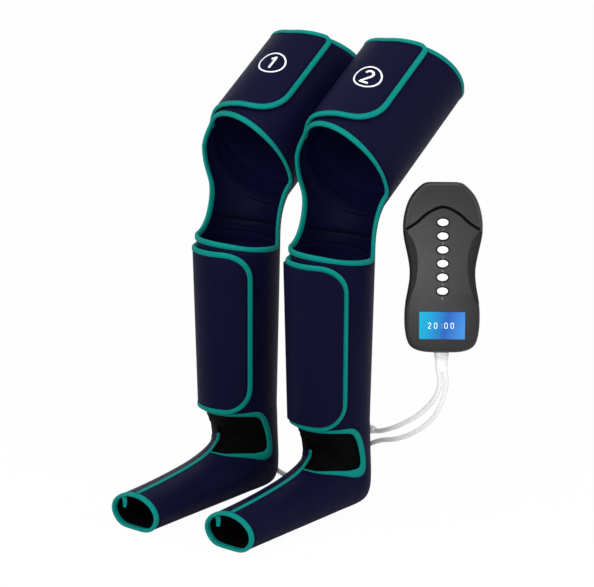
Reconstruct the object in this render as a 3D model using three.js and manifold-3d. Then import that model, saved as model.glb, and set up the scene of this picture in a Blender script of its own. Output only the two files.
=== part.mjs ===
// Air compression leg massager: two open-knee leg sleeves, a hand controller and its two air hoses.
// Millimetres. +Z is up, the toes point to -Y and the wearer's left is +X.
// Angles round a sleeve are in degrees: 0 is the front, 90 the wearer's left, 180 the back.

import * as THREE from 'three';
import { mergeVertices } from 'three/addons/utils/BufferGeometryUtils.js';
import Module from 'manifold-3d';

const wasm = await Module();
wasm.setup();

const RAD = Math.PI / 180;
const turnsLeft = (angle) => ((angle + 540) % 360) - 180;

// Clearances
const SEAM_GAP = 0.3;
const LAYER_GAP = 0.6;
const BUTTON_CLEARANCE = 0.5;

// Where the two sleeves stand
const SLEEVE_SPACING = 160;
const SLEEVE_STAGGER = 26;

// Foot
const FOOT_LENGTH = 234;
const TOE_HEIGHT = 56;
const TOE_HALF_WIDTH = 44;
const INSTEP_HEIGHT = 78;
const INSTEP_REACH = 47;
const ANKLE_WAIST_HEIGHT = 97;
const HEEL_REACH = 61;
const HEEL_HALF_WIDTH = 54;
const SOLE_FLATTENING = 4;

// Calf
const ANKLE_TOP = 137;
const CALF_LENGTH = 257;
const ANKLE_HALF_WIDTH = 56;
const ANKLE_HALF_DEPTH = 61;
const CALF_HALF_WIDTH = 62;
const CALF_HALF_DEPTH = 67;

// Knee and thigh
const KNEE_RISE = 103;
const THIGH_LEAN = 35;
const THIGH_HALF_WIDTH = 75;
const THIGH_HALF_DEPTH = 85;
const THIGH_START = 32;
const THIGH_LENGTH = 217;
const RIM_SLANT = 28;
const RIM_BULGE = 13;
const KNEE_LEFT_LIFT = 18;

// Fabric and trim
const WALL = 4;
const BINDING_WIDTH = 8;
const BINDING_PROUD = 0.8;
const TAPE_WIDTH = 7;
const TAPE_THICKNESS = 1.4;
const GUSSET_WALL = 2;
const GUSSET_DEPTH = 4;
const HOOK_THICKNESS = 1.8;
const AIR_CELL_WALL = 4;
const AIR_CELL_CROWN = 5;
const THIGH_CELL_FILL = 0.45;

// Angles that the pieces share
const COLUMN = 15;
const FLAP_ROOT = -60;
const UNDERLAP = -30;
const CALF_FLAP_EDGE = 54;
const THIGH_FLAP_EDGE = 41;
const KNEE_RIGHT = 120;
const KNEE_LEFT = -45;

// Flap edges
const CALF_FLAP_TOP_MARGIN = 10;
const CALF_FLAP_BOTTOM_MARGIN = 9;
const CALF_FLAP_CORNER = 34;
const THIGH_FLAP_BOTTOM = 67;
const THIGH_FLAP_CORNER = 40;

// Controller
const CONTROLLER_HEIGHT = 250;
const CONTROLLER_FRONT_DEPTH = 23;
const CONTROLLER_BACK_DEPTH = 25;
const CONTROLLER_EDGE = 7;
const CASE_WALL = 3.2;
const GRIP_THICKNESS = 1.5;
const GRIP_LOW = 72;
const GRIP_HIGH = 178;
const GRIP_INNER = 37;
const CONTROLLER_TURN = 37;
const CONTROLLER_TILT = -14;
const CONTROLLER_X = 232;
const CONTROLLER_Y = 81;
const CONTROLLER_BOTTOM = 255;
const TOP_HALF_WIDTH = 28;
const SHOULDER_HALF_WIDTH = 58.5;
const SHOULDER_HEIGHT = 187;
const WAIST_HALF_WIDTH = 47.5;
const WAIST_HEIGHT = 117;
const BASE_HALF_WIDTH = 55;
const BASE_HEIGHT = 62;
const BUTTON_HALF_WIDTH = 8;
const BUTTON_HALF_HEIGHT = 5.3;
const BUTTON_PITCH = 20.1;
const BUTTON_COUNT = 6;
const LOWEST_BUTTON = 90;
const BUTTON_PROUD = 1.6;
const BUTTON_TRAVEL = 1;
const SCREEN_WIDTH = 67;
const SCREEN_HEIGHT = 40;
const SCREEN_CENTRE = 39.5;
const LENS_THICKNESS = 1.6;

// Hoses
const HOSE_DIAMETER = 7.6;
const HOSE_PITCH = 9;
const GLAND_DROP = 10;
const PORT_HEIGHT = 106;
const PORT_STANDOFF = 13;
const PORT_SEAT = 61.5;
const NOZZLE_REACH = 22;
const HOSE_STEPS = 56;
const HOSE_LEFT_POINTS = [
  [233, 77, 212], [225, 79.5, 187], [199, 82, 156.5], [155, 84.5, 125], [124, 86.5, 110],
];
const HOSE_RIGHT_POINTS = [
  [241, 82, 211], [235, 84.5, 187], [216, 87, 150], [182, 89.5, 119.5], [144, 93, 99], [107, 96, 87],
  [80, 98, 71], [56, 97, 45], [32, 91, 20], [6, 82, 7], [-22, 72, 4.6], [-48, 62, 6.5], [-68, 57, 17],
  [-78, 57.5, 36], [-80, 60, 56],
];

const CALF_TOP = ANKLE_TOP + CALF_LENGTH;

const product = new THREE.Group();

// Materials

function material(color, roughness, metalness = 0) {
  return () => new THREE.MeshStandardMaterial({ color, roughness, metalness });
}

const navyFabric = material(0x0d0b28, 0.62);
const tealBinding = material(0x087f78, 0.7);
const stretchFabric = material(0x050508, 0.85);
const bladderFilm = material(0x1b2130, 0.45);
const hookTape = material(0x101014, 0.95);
const casePlastic = material(0x3a3a3c, 0.42);
const gripRubber = material(0x161618, 0.75);
const whitePlastic = material(0xf2f2f2, 0.35);
const screenGlass = material(0x2e86cf, 0.12);
const boardGreen = material(0x1d5a35, 0.5);
const pumpMetal = material(0x8d9094, 0.4, 0.7);
const valvePlastic = material(0x20242a, 0.5);
const hoseVinyl = material(0xe6e8ea, 0.35);

function addPiece(name, geometry, makeMaterial, parent = product) {
  const mesh = new THREE.Mesh(geometry, makeMaterial());
  mesh.name = name;
  parent.add(mesh);
  return mesh;
}

// Mesh helpers

function signedVolume(points, triangles) {
  let volume = 0;
  for (const [a, b, c] of triangles) {
    volume += points[a].dot(new THREE.Vector3().crossVectors(points[b], points[c])) / 6;
  }
  return volume;
}

function meshSolid(points, triangles) {
  const outward = signedVolume(points, triangles) > 0;
  const geometry = new THREE.BufferGeometry();
  geometry.setFromPoints(points);
  const order = outward ? ([a, b, c]) => [a, b, c] : ([a, b, c]) => [a, c, b];
  geometry.setIndex(triangles.flatMap(order));
  return geometry;
}

function bare(geometry) {
  const plain = geometry.clone();
  plain.deleteAttribute('normal');
  plain.deleteAttribute('uv');
  return mergeVertices(plain, 1e-4);
}

function toManifold(geometry) {
  const merged = bare(geometry);
  return new wasm.Manifold(new wasm.Mesh({
    numProp: 3,
    vertProperties: new Float32Array(merged.attributes.position.array),
    triVerts: new Uint32Array(merged.index.array),
  }));
}

function fromManifold(manifold) {
  const mesh = manifold.getMesh();
  const geometry = new THREE.BufferGeometry();
  geometry.setAttribute('position', new THREE.BufferAttribute(new Float32Array(mesh.vertProperties), 3));
  geometry.setIndex(new THREE.BufferAttribute(new Uint32Array(mesh.triVerts), 1));
  return geometry;
}

function cut(body, ...tools) {
  return tools.reduce((rest, tool) => rest.subtract(toManifold(tool)), body);
}

function join(...geometries) {
  return geometries.map(toManifold).reduce((whole, next) => whole.add(next));
}

function box(width, depth, height, x, y, z) {
  return new THREE.BoxGeometry(width, depth, height).translate(x, y, z);
}

// A round bar along a direction, from a profile of [radius, distance] pairs
function turned(profile, direction, origin, sides = 20) {
  const outline = profile.map(([radius, along]) => new THREE.Vector2(radius, along));
  const geometry = new THREE.LatheGeometry(outline, sides);
  const turn = new THREE.Quaternion().setFromUnitVectors(new THREE.Vector3(0, 1, 0), direction);
  geometry.applyQuaternion(turn);
  return geometry.translate(origin.x, origin.y, origin.z);
}

function steps(from, to, count) {
  return Array.from({ length: count + 1 }, (_, i) => from + (to - from) * i / count);
}

function smooth(from, to, value) {
  const share = Math.min(1, Math.max(0, (value - from) / (to - from)));
  return share * share * (3 - 2 * share);
}

function mix(from, to, share) {
  return from + (to - from) * share;
}

// The sleeve's surface. A station runs 0 to 1 along the foot, 1 to 2 up the calf,
// 2 to 3 round the knee and on from 3 up the thigh.

const leanCos = Math.cos(THIGH_LEAN * RAD);
const leanSin = Math.sin(THIGH_LEAN * RAD);
const kneeCentre = new THREE.Vector2(0, CALF_TOP + KNEE_RISE);
const thighAxis = new THREE.Vector2(leanCos, leanSin);
const thighFront = new THREE.Vector2(-leanSin, leanCos);

const footTop = new THREE.CatmullRomCurve3([
  new THREE.Vector3(0, -FOOT_LENGTH, TOE_HEIGHT),
  new THREE.Vector3(0, -0.78 * FOOT_LENGTH, TOE_HEIGHT + 2),
  new THREE.Vector3(0, -0.55 * FOOT_LENGTH, TOE_HEIGHT + 6),
  new THREE.Vector3(0, -0.37 * FOOT_LENGTH, INSTEP_HEIGHT - 11),
  new THREE.Vector3(0, -INSTEP_REACH - 14, INSTEP_HEIGHT - 5),
  new THREE.Vector3(0, -INSTEP_REACH - 3, INSTEP_HEIGHT + 3),
  new THREE.Vector3(0, -INSTEP_REACH + 2, ANKLE_WAIST_HEIGHT - 8),
  new THREE.Vector3(0, -INSTEP_REACH + 1, ANKLE_WAIST_HEIGHT + 5),
  new THREE.Vector3(0, -INSTEP_REACH - 5, ANKLE_WAIST_HEIGHT + 21),
  new THREE.Vector3(0, -ANKLE_HALF_DEPTH, ANKLE_TOP),
], false, 'catmullrom', 0.5);

const footBottom = new THREE.CatmullRomCurve3([
  new THREE.Vector3(0, -FOOT_LENGTH, -SOLE_FLATTENING),
  new THREE.Vector3(0, -0.77 * FOOT_LENGTH, -SOLE_FLATTENING),
  new THREE.Vector3(0, -0.53 * FOOT_LENGTH, -SOLE_FLATTENING),
  new THREE.Vector3(0, -0.3 * FOOT_LENGTH, -SOLE_FLATTENING),
  new THREE.Vector3(0, -0.08 * FOOT_LENGTH, -SOLE_FLATTENING),
  new THREE.Vector3(0, HEEL_REACH - 21, -SOLE_FLATTENING),
  new THREE.Vector3(0, HEEL_REACH - 4, 8),
  new THREE.Vector3(0, HEEL_REACH, 36),
  new THREE.Vector3(0, HEEL_REACH, ANKLE_WAIST_HEIGHT - 8),
  new THREE.Vector3(0, ANKLE_HALF_DEPTH, ANKLE_TOP),
], false, 'catmullrom', 0.5);

function footHalfWidth(station) {
  const heel = mix(TOE_HALF_WIDTH, HEEL_HALF_WIDTH, smooth(0, 0.6, station));
  return mix(heel, ANKLE_HALF_WIDTH, smooth(0.5, 1, station));
}

function section(front, back, halfWidth) {
  return { front, back, halfWidth };
}

function footSection(station) {
  const top = footTop.getPoint(station);
  const bottom = footBottom.getPoint(station);
  return section(new THREE.Vector2(top.y, top.z), new THREE.Vector2(bottom.y, bottom.z), footHalfWidth(station));
}

function calfSection(station) {
  const share = station - 1;
  const height = ANKLE_TOP + CALF_LENGTH * share;
  const depth = mix(ANKLE_HALF_DEPTH, CALF_HALF_DEPTH, share);
  const halfWidth = mix(ANKLE_HALF_WIDTH, CALF_HALF_WIDTH, share);
  return section(new THREE.Vector2(-depth, height), new THREE.Vector2(depth, height), halfWidth);
}

function kneeSection(station) {
  const share = station - 2;
  const start = new THREE.Vector2(0, CALF_TOP);
  const end = kneeCentre.clone().addScaledVector(thighAxis, THIGH_START);
  const bend = new THREE.QuadraticBezierCurve(start, kneeCentre, end);
  const middle = bend.getPoint(share);
  const turn = mix(0, 90 - THIGH_LEAN, smooth(0, 1, share)) * RAD;
  const depth = mix(CALF_HALF_DEPTH, THIGH_HALF_DEPTH, smooth(0, 1, share));
  const chord = new THREE.Vector2(-Math.cos(turn), Math.sin(turn)).multiplyScalar(depth);
  const halfWidth = mix(CALF_HALF_WIDTH, THIGH_HALF_WIDTH, smooth(0, 1, share));
  return section(middle.clone().add(chord), middle.clone().sub(chord), halfWidth);
}

function thighSection(station) {
  const along = THIGH_START + THIGH_LENGTH * (station - 3);
  const middle = kneeCentre.clone().addScaledVector(thighAxis, along);
  const chord = thighFront.clone().multiplyScalar(THIGH_HALF_DEPTH);
  return section(middle.clone().add(chord), middle.clone().sub(chord), THIGH_HALF_WIDTH);
}

function sleeveSection(station) {
  if (station < 0) {
    const first = footSection(0);
    const next = footSection(0.01);
    const back = station / 0.01;
    first.front.addScaledVector(next.front.clone().sub(first.front), back);
    first.back.addScaledVector(next.back.clone().sub(first.back), back);
    return first;
  }
  if (station <= 1) return footSection(station);
  if (station <= 2) return calfSection(station);
  if (station <= 3) return kneeSection(station);
  return thighSection(station);
}

// A point at an angle and a station, a depth below the outer face (negative is proud of it)
function sleevePoint(angle, station, depth) {
  const { front, back, halfWidth } = sleeveSection(station);
  const middle = front.clone().add(back).multiplyScalar(0.5);
  const chord = front.clone().sub(back).multiplyScalar(0.5);
  const reach = 1 - depth / chord.length();
  const offset = chord.multiplyScalar(reach * Math.cos(angle * RAD));
  const across = (halfWidth - depth) * Math.sin(angle * RAD);
  const ground = depth < 0 ? 0.4 : depth;
  return new THREE.Vector3(across, middle.x + offset.x, Math.max(ground, middle.y + offset.y));
}

const onCalf = (height) => 1 + (height - ANKLE_TOP) / CALF_LENGTH;
const onThigh = (along) => 3 + (along - THIGH_START) / THIGH_LENGTH;

// A shell between two depths, over a grid of columns and rows. place(column, row) gives the
// angle and the station, and depths(angle, station) the outer and the inner depth.
function shell(columnCount, rowCount, ring, place, depths) {
  const columns = ring ? columnCount : columnCount + 1;
  const points = [];
  for (const side of [0, 1]) {
    for (let row = 0; row <= rowCount; row += 1) {
      for (let column = 0; column < columns; column += 1) {
        const [angle, station] = place(column, row);
        points.push(sleevePoint(angle, station, depths(angle, station)[side]));
      }
    }
  }
  const at = (side, column, row) => (side * (rowCount + 1) + row) * columns + column % columns;
  const triangles = [];
  const quad = (a, b, c, d) => triangles.push([a, b, c], [a, c, d]);
  for (let row = 0; row < rowCount; row += 1) {
    for (let column = 0; column < columnCount; column += 1) {
      quad(at(0, column, row), at(0, column + 1, row), at(0, column + 1, row + 1), at(0, column, row + 1));
      quad(at(1, column, row), at(1, column, row + 1), at(1, column + 1, row + 1), at(1, column + 1, row));
    }
  }
  for (let column = 0; column < columnCount; column += 1) {
    quad(at(0, column, 0), at(1, column, 0), at(1, column + 1, 0), at(0, column + 1, 0));
    quad(at(0, column, rowCount), at(0, column + 1, rowCount), at(1, column + 1, rowCount), at(1, column, rowCount));
  }
  if (!ring) {
    for (let row = 0; row < rowCount; row += 1) {
      quad(at(0, 0, row), at(0, 0, row + 1), at(1, 0, row + 1), at(1, 0, row));
      const last = columnCount;
      quad(at(1, last, row), at(1, last, row + 1), at(0, last, row + 1), at(0, last, row));
    }
  }
  return meshSolid(points, triangles);
}

// Millimetres along the surface for one degree and for one unit of station
function surfaceScale(angle, station) {
  const small = 0.01;
  const round = sleevePoint(angle + small, station, 0).distanceTo(sleevePoint(angle - small, station, 0));
  const along = sleevePoint(angle, station + small, 0).distanceTo(sleevePoint(angle, station - small, 0));
  return [round / (2 * small), along / (2 * small)];
}

// Directions square to a path of [angle, station] points, in the surface, towards one side
function sideways(path, closed) {
  return path.map(([angle, station], i) => {
    const [round, along] = surfaceScale(angle, station);
    const before = path[closed ? (i + path.length - 1) % path.length : Math.max(0, i - 1)];
    const after = path[closed ? (i + 1) % path.length : Math.min(path.length - 1, i + 1)];
    const flat = ([a, s]) => new THREE.Vector2(turnsLeft(a - angle) * round, (s - station) * along);
    const arrive = flat(before).negate().normalize();
    const leave = flat(after).normalize();
    if (arrive.length() < 0.5) arrive.copy(leave);
    if (leave.length() < 0.5) leave.copy(arrive);
    const normal = new THREE.Vector2(arrive.y + leave.y, -arrive.x - leave.x).normalize();
    const miter = 1 / Math.max(0.6, normal.dot(new THREE.Vector2(arrive.y, -arrive.x)));
    return [normal.x * miter / round, normal.y * miter / along];
  });
}

// A band of constant cross-section that follows a path on the surface.
// Each profile point is [distance sideways, depth]; lift(angle) raises the whole band.
function band(path, closed, profile, lift = () => 0) {
  const sides = sideways(path, closed);
  const points = path.flatMap(([angle, station], i) => profile.map(([out, depth]) => (
    sleevePoint(angle + sides[i][0] * out, station + sides[i][1] * out, depth - lift(angle))
  )));
  const count = profile.length;
  const at = (i, k) => (i % path.length) * count + k % count;
  const triangles = [];
  const spans = closed ? path.length : path.length - 1;
  for (let i = 0; i < spans; i += 1) {
    for (let k = 0; k < count; k += 1) {
      triangles.push([at(i, k), at(i, k + 1), at(i + 1, k + 1)], [at(i, k), at(i + 1, k + 1), at(i + 1, k)]);
    }
  }
  if (!closed) {
    const end = path.length - 1;
    for (let k = 1; k < count - 1; k += 1) {
      triangles.push([at(0, 0), at(0, k + 1), at(0, k)], [at(end, 0), at(end, k), at(end, k + 1)]);
    }
  }
  return meshSolid(points, triangles);
}

// The folded tape that closes a fabric edge: it starts a seam gap beyond the edge
function edgeBinding(path, closed, lift) {
  const inner = WALL + BINDING_PROUD;
  const shoulder = BINDING_WIDTH - 2;
  const profile = [
    [SEAM_GAP, -BINDING_PROUD],
    [shoulder, -BINDING_PROUD],
    [BINDING_WIDTH, 1],
    [BINDING_WIDTH, WALL - 1],
    [shoulder, inner],
    [SEAM_GAP, inner],
  ];
  return band(path, closed, profile, lift);
}

// Edges that neighbouring pieces share

const thighTopAt = (angle) => {
  const side = Math.min(120, Math.max(0, turnsLeft(angle)));
  const bulge = RIM_BULGE * Math.sin(1.5 * side * RAD);
  return onThigh(THIGH_START + THIGH_LENGTH - RIM_SLANT * Math.cos(angle * RAD) + bulge);
};
const thighLow = (angle) => {
  const side = turnsLeft(angle);
  const rise = side < KNEE_RIGHT ? smooth(KNEE_RIGHT, KNEE_LEFT, side) : 0;
  const fade = side < KNEE_LEFT ? smooth(-110, KNEE_LEFT, side) : 1;
  return THIGH_START + KNEE_LEFT_LIFT * (side < KNEE_LEFT ? fade : rise);
};
const thighLowAt = (angle) => onThigh(thighLow(angle));

function range(from, to, step) {
  return steps(from, to, Math.round((to - from) / step));
}

// Knee opening: its right and left edges, at a share of the way from calf to thigh
const KNEE_ROWS = 8;
const rightEdge = (share) => KNEE_RIGHT - 3 * Math.sin(Math.PI * share);
const leftEdge = (share) => mix(FLAP_ROOT, KNEE_LEFT, share) - 52 * Math.sin(Math.PI * share ** 0.75);

function kneePlace(column, row) {
  const share = row / KNEE_ROWS;
  const columns = Math.round((360 + KNEE_LEFT - KNEE_RIGHT) / COLUMN);
  const angle = mix(rightEdge(share), leftEdge(share) + 360, column / columns);
  const top = thighLowAt(angle) - SEAM_GAP / THIGH_LENGTH;
  return [angle, mix(2, top, share)];
}

function kneeOpeningPath() {
  const columns = Math.round((360 + KNEE_LEFT - KNEE_RIGHT) / COLUMN);
  const bottom = range(FLAP_ROOT, KNEE_RIGHT, COLUMN).map((angle) => [angle, 2]);
  const right = [];
  const left = [];
  for (let row = 1; row < KNEE_ROWS; row += 1) {
    right.push(kneePlace(0, row));
    const [angle, station] = kneePlace(columns, KNEE_ROWS - row);
    left.push([angle - 360, station]);
  }
  const top = range(KNEE_LEFT, KNEE_RIGHT, COLUMN).reverse().map((angle) => [angle, thighLowAt(angle)]);
  return [...bottom, ...right, ...top, ...left];
}

// Flaps: the columns past a fixed angle draw in where the corners are rounded
const FLAP_FIXED = 0;

function flapColumns(edge) {
  return [...range(FLAP_ROOT, Math.floor(edge / COLUMN) * COLUMN, COLUMN), edge]
    .filter((angle, i, all) => i === 0 || angle > all[i - 1]);
}

function flapAngle(angle, edge, edgeHere) {
  if (angle <= FLAP_FIXED) return angle;
  return FLAP_FIXED + (angle - FLAP_FIXED) * (edgeHere - FLAP_FIXED) / (edge - FLAP_FIXED);
}

const flapLift = (angle) => (WALL + HOOK_THICKNESS + 2 * SEAM_GAP) * smooth(FLAP_ROOT + 2, UNDERLAP - 2, angle);

// Rows of a flap as [share of the way up, edge angle]
function flapRows(height, corner, edge, radiusOfEdge, topCorner) {
  const cornerAngle = corner / radiusOfEdge / RAD;
  const turn = steps(0, 90, 4);
  const low = turn.map((a) => [
    corner * (1 - Math.cos(a * RAD)) / height, edge - cornerAngle * (1 - Math.sin(a * RAD)),
  ]);
  const high = topCorner ? low.map(([share, angle]) => [1 - share, angle]).reverse() : [[1, edge]];
  return [...low, ...high];
}

function flapOutline(columns, rows, edge, stationAt) {
  const bottom = columns.map((angle) => [flapAngle(angle, edge, rows[0][1]), rows[0][0]]);
  const side = rows.slice(1, -1).map(([share, angle]) => [angle, share]);
  const last = rows[rows.length - 1];
  const top = [...columns].reverse().map((angle) => [flapAngle(angle, edge, last[1]), last[0]]);
  return [...bottom, ...side, ...top].map(([angle, share]) => [angle, stationAt(angle, share)]);
}

function flapShell(columns, rows, edge, stationAt) {
  const place = (column, row) => {
    const [share, edgeHere] = rows[row];
    const angle = flapAngle(columns[column], edge, edgeHere);
    return [angle, stationAt(angle, share)];
  };
  const depths = (angle) => [-flapLift(angle), WALL - flapLift(angle)];
  return shell(columns.length - 1, rows.length - 1, false, place, depths);
}

// Calf pieces

const calfFlapBottom = ANKLE_TOP + CALF_FLAP_BOTTOM_MARGIN;
const calfFlapTop = CALF_TOP - CALF_FLAP_TOP_MARGIN;
const calfFlapRows = flapRows(
  calfFlapTop - calfFlapBottom, CALF_FLAP_CORNER, CALF_FLAP_EDGE, CALF_HALF_WIDTH, true,
);
const calfFlapStation = (angle, share) => onCalf(mix(calfFlapBottom, calfFlapTop, share));

function makeCalf(add) {
  const angles = range(UNDERLAP, FLAP_ROOT + 360, COLUMN);
  const low = 1 + SEAM_GAP / CALF_LENGTH;
  const place = (column, row) => [angles[column] - (column === angles.length - 1 ? 0.4 : 0), row ? 2 : low];
  add('calf_wrap', shell(angles.length - 1, 1, false, place, () => [0, WALL]), navyFabric);

  const columns = flapColumns(CALF_FLAP_EDGE);
  add('calf_flap', flapShell(columns, calfFlapRows, CALF_FLAP_EDGE, calfFlapStation), navyFabric);
  const outline = flapOutline(columns, calfFlapRows, CALF_FLAP_EDGE, calfFlapStation);
  add('calf_flap_binding', edgeBinding(outline, false, flapLift), tealBinding);

  const hookAngles = [COLUMN, 2 * COLUMN, 3 * COLUMN];
  const hookPlace = (column, row) => [
    hookAngles[column], mix(onCalf(calfFlapBottom + 44), onCalf(calfFlapTop - 44), row),
  ];
  const hookDepths = [-HOOK_THICKNESS - SEAM_GAP, -SEAM_GAP];
  add('calf_hook_strip', shell(2, 1, false, hookPlace, () => hookDepths), hookTape);

  const cells = 3;
  const cellSteps = 2;
  const cellAngles = range(UNDERLAP + COLUMN, FLAP_ROOT + 360 - COLUMN, COLUMN);
  const rows = cells * cellSteps;
  const cellPlace = (column, row) => [cellAngles[column], mix(1.06, 1.94, row / rows)];
  add('calf_air_cells', shell(cellAngles.length - 1, rows, false, cellPlace, airCell(1.06, 1.94, cells)), bladderFilm);
}

// An air cell's outer and inner depth: it swells between the welds that divide it
function airCell(from, to, cells, fill = 1) {
  const outer = WALL + LAYER_GAP;
  return (angle, station) => {
    const share = (station - from) / (to - from);
    const swell = Math.abs(Math.sin(Math.PI * cells * share));
    return [outer, outer + fill * (AIR_CELL_WALL + AIR_CELL_CROWN * swell)];
  };
}

// Thigh pieces

const thighFlapRows = flapRows(
  THIGH_LENGTH + THIGH_START - RIM_SLANT - THIGH_FLAP_BOTTOM, THIGH_FLAP_CORNER, THIGH_FLAP_EDGE,
  THIGH_HALF_DEPTH, false,
);
const rimFabric = (angle) => thighTopAt(angle) - BINDING_WIDTH / THIGH_LENGTH;
const thighFlapStation = (angle, share) => mix(onThigh(THIGH_FLAP_BOTTOM), rimFabric(angle), share);

function makeThigh(add) {
  const angles = range(UNDERLAP, FLAP_ROOT + 360, COLUMN);
  const inset = (column) => (column === angles.length - 1 ? 0.4 : 0);
  const low = (angle) => thighLowAt(angle) + SEAM_GAP / THIGH_LENGTH;
  const place = (column, row) => {
    const angle = angles[column];
    return [angle - inset(column), row ? rimFabric(angle) : low(angle)];
  };
  add('thigh_wrap', shell(angles.length - 1, 1, false, place, () => [0, WALL]), navyFabric);
  const rim = angles.map((angle, column) => [angle - inset(column), rimFabric(angle)]).reverse();
  add('thigh_rim_binding', edgeBinding(rim, false), tealBinding);

  const columns = flapColumns(THIGH_FLAP_EDGE);
  add('thigh_flap', flapShell(columns, thighFlapRows, THIGH_FLAP_EDGE, thighFlapStation), navyFabric);
  const outline = flapOutline(columns, thighFlapRows, THIGH_FLAP_EDGE, thighFlapStation);
  add('thigh_flap_binding', edgeBinding(outline, false, flapLift), tealBinding);

  const hookAngles = [0, COLUMN, 2 * COLUMN];
  const hookPlace = (column, row) => [
    hookAngles[column], row ? onThigh(THIGH_START + THIGH_LENGTH - RIM_SLANT - 26) : onThigh(THIGH_FLAP_BOTTOM + 46),
  ];
  const hookDepths = [-HOOK_THICKNESS - SEAM_GAP, -SEAM_GAP];
  add('thigh_hook_strip', shell(2, 1, false, hookPlace, () => hookDepths), hookTape);

  const cells = 2;
  const rows = cells * 2;
  const from = onThigh(THIGH_START + KNEE_LEFT_LIFT + 12);
  const to = onThigh(THIGH_START + THIGH_LENGTH - RIM_SLANT - 16);
  const cellAngles = range(UNDERLAP + COLUMN, FLAP_ROOT + 360 - COLUMN, COLUMN);
  const cellPlace = (column, row) => [cellAngles[column], mix(from, to, row / rows)];
  const depths = airCell(from, to, cells, THIGH_CELL_FILL);
  add('thigh_air_cells', shell(cellAngles.length - 1, rows, false, cellPlace, depths), bladderFilm);
}

// Knee pieces

function makeKnee(add) {
  const columns = Math.round((360 + KNEE_LEFT - KNEE_RIGHT) / COLUMN);
  const place = (column, row) => {
    const [angle, station] = kneePlace(column, row);
    if (row > 0) return [angle, station];
    return [angle - (column === columns ? 0.6 : 0), 2 + SEAM_GAP / CALF_LENGTH];
  };
  add('knee_panel', shell(columns, KNEE_ROWS, false, place, () => [0, WALL]), navyFabric);
  add('knee_opening_binding', edgeBinding(kneeOpeningPath().reverse(), true), tealBinding);
}

// Foot pieces: a cover round the foot, and one that rises round the back of the ankle
const SEAM_ANGLE = -15;
const ANKLE_SIDE = 90;
const FOOT_EVEN_ROWS = 5;
const FOOT_ROWS = 7;
const ANKLE_ROWS = 4;
const INSTEP_LOW = 0.44;
const INSTEP_RISE = 0.2;
const WING_TOP = 0.8;
const STATION_GAP = 0.0012;

// The foot cover's upper edge rises round the side, and its last rows stretch to that edge
function footReach(angle) {
  const side = Math.abs(turnsLeft(angle));
  const rise = turnsLeft(angle) < 0 ? 0 : smooth(10, 80, side) * smooth(160, ANKLE_SIDE, side);
  return INSTEP_LOW + INSTEP_RISE * rise;
}

function footStation(angle, row) {
  const even = 0.9 * INSTEP_LOW;
  if (row <= FOOT_EVEN_ROWS) return even * row / FOOT_EVEN_ROWS;
  return mix(even, footReach(angle), (row - FOOT_EVEN_ROWS) / (FOOT_ROWS - FOOT_EVEN_ROWS));
}

const ankleTop = (angle) => mix(WING_TOP, 1, smooth(300, 270, angle));
const ankleStation = (angle, row) => mix(footReach(angle) + STATION_GAP, ankleTop(angle), row / ANKLE_ROWS);

function makeFoot(add) {
  const wall = () => [0, WALL];
  const footColumns = 360 / COLUMN;
  const footPlace = (column, row) => [column * COLUMN, footStation(column * COLUMN, row)];
  add('foot_wrap', shell(footColumns, FOOT_ROWS, true, footPlace, wall), navyFabric);
  const ankleAngles = range(ANKLE_SIDE, 360 + SEAM_ANGLE, COLUMN);
  const anklePlace = (column, row) => [ankleAngles[column], ankleStation(ankleAngles[column], row)];
  add('ankle_wrap', shell(ankleAngles.length - 1, ANKLE_ROWS, false, anklePlace, wall), navyFabric);

  const toe = range(0, 360 - COLUMN, COLUMN).map((angle) => [angle, 0]);
  add('toe_binding', edgeBinding(toe, true), tealBinding);

  const half = TAPE_WIDTH / 2;
  const tape = [
    [-half, -SEAM_GAP], [0, -SEAM_GAP], [half, -SEAM_GAP],
    [half, -TAPE_THICKNESS], [0, -TAPE_THICKNESS], [-half, -TAPE_THICKNESS],
  ];
  const seam = [
    ...steps(0, FOOT_ROWS, FOOT_ROWS).map((row) => [SEAM_ANGLE, Math.max(STATION_GAP, footStation(SEAM_ANGLE, row))]),
    ...steps(1, ANKLE_ROWS, ANKLE_ROWS - 1).map((row) => [SEAM_ANGLE, ankleStation(360 + SEAM_ANGLE, row)]),
  ];
  add('foot_seam_binding', band(seam, false, tape), tealBinding);

  const lower = range(0, ANKLE_SIDE - COLUMN, COLUMN).map((angle) => [angle, footReach(angle)]);
  const side = steps(0, ANKLE_ROWS, ANKLE_ROWS).map((row) => [ANKLE_SIDE, ankleStation(ANKLE_SIDE, row)]);
  const upper = range(COLUMN - ANKLE_SIDE, ANKLE_SIDE - COLUMN, COLUMN).reverse().map((angle) => [angle, 1]);
  add('ankle_binding', ankleBinding([...lower, ...side, ...upper]), tealBinding);
  add('ankle_gusset', makeGusset(), stretchFabric);

  const cellAngles = range(4 * COLUMN, 360 - 4 * COLUMN, COLUMN);
  const cellPlace = (column, row) => [cellAngles[column], footStation(0, row + 1)];
  const cellRows = FOOT_EVEN_ROWS - 1;
  const cellDepths = airCell(footStation(0, 1), footStation(0, FOOT_EVEN_ROWS), 2);
  add('foot_air_cells', shell(cellAngles.length - 1, cellRows, false, cellPlace, cellDepths), bladderFilm);
}

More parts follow.
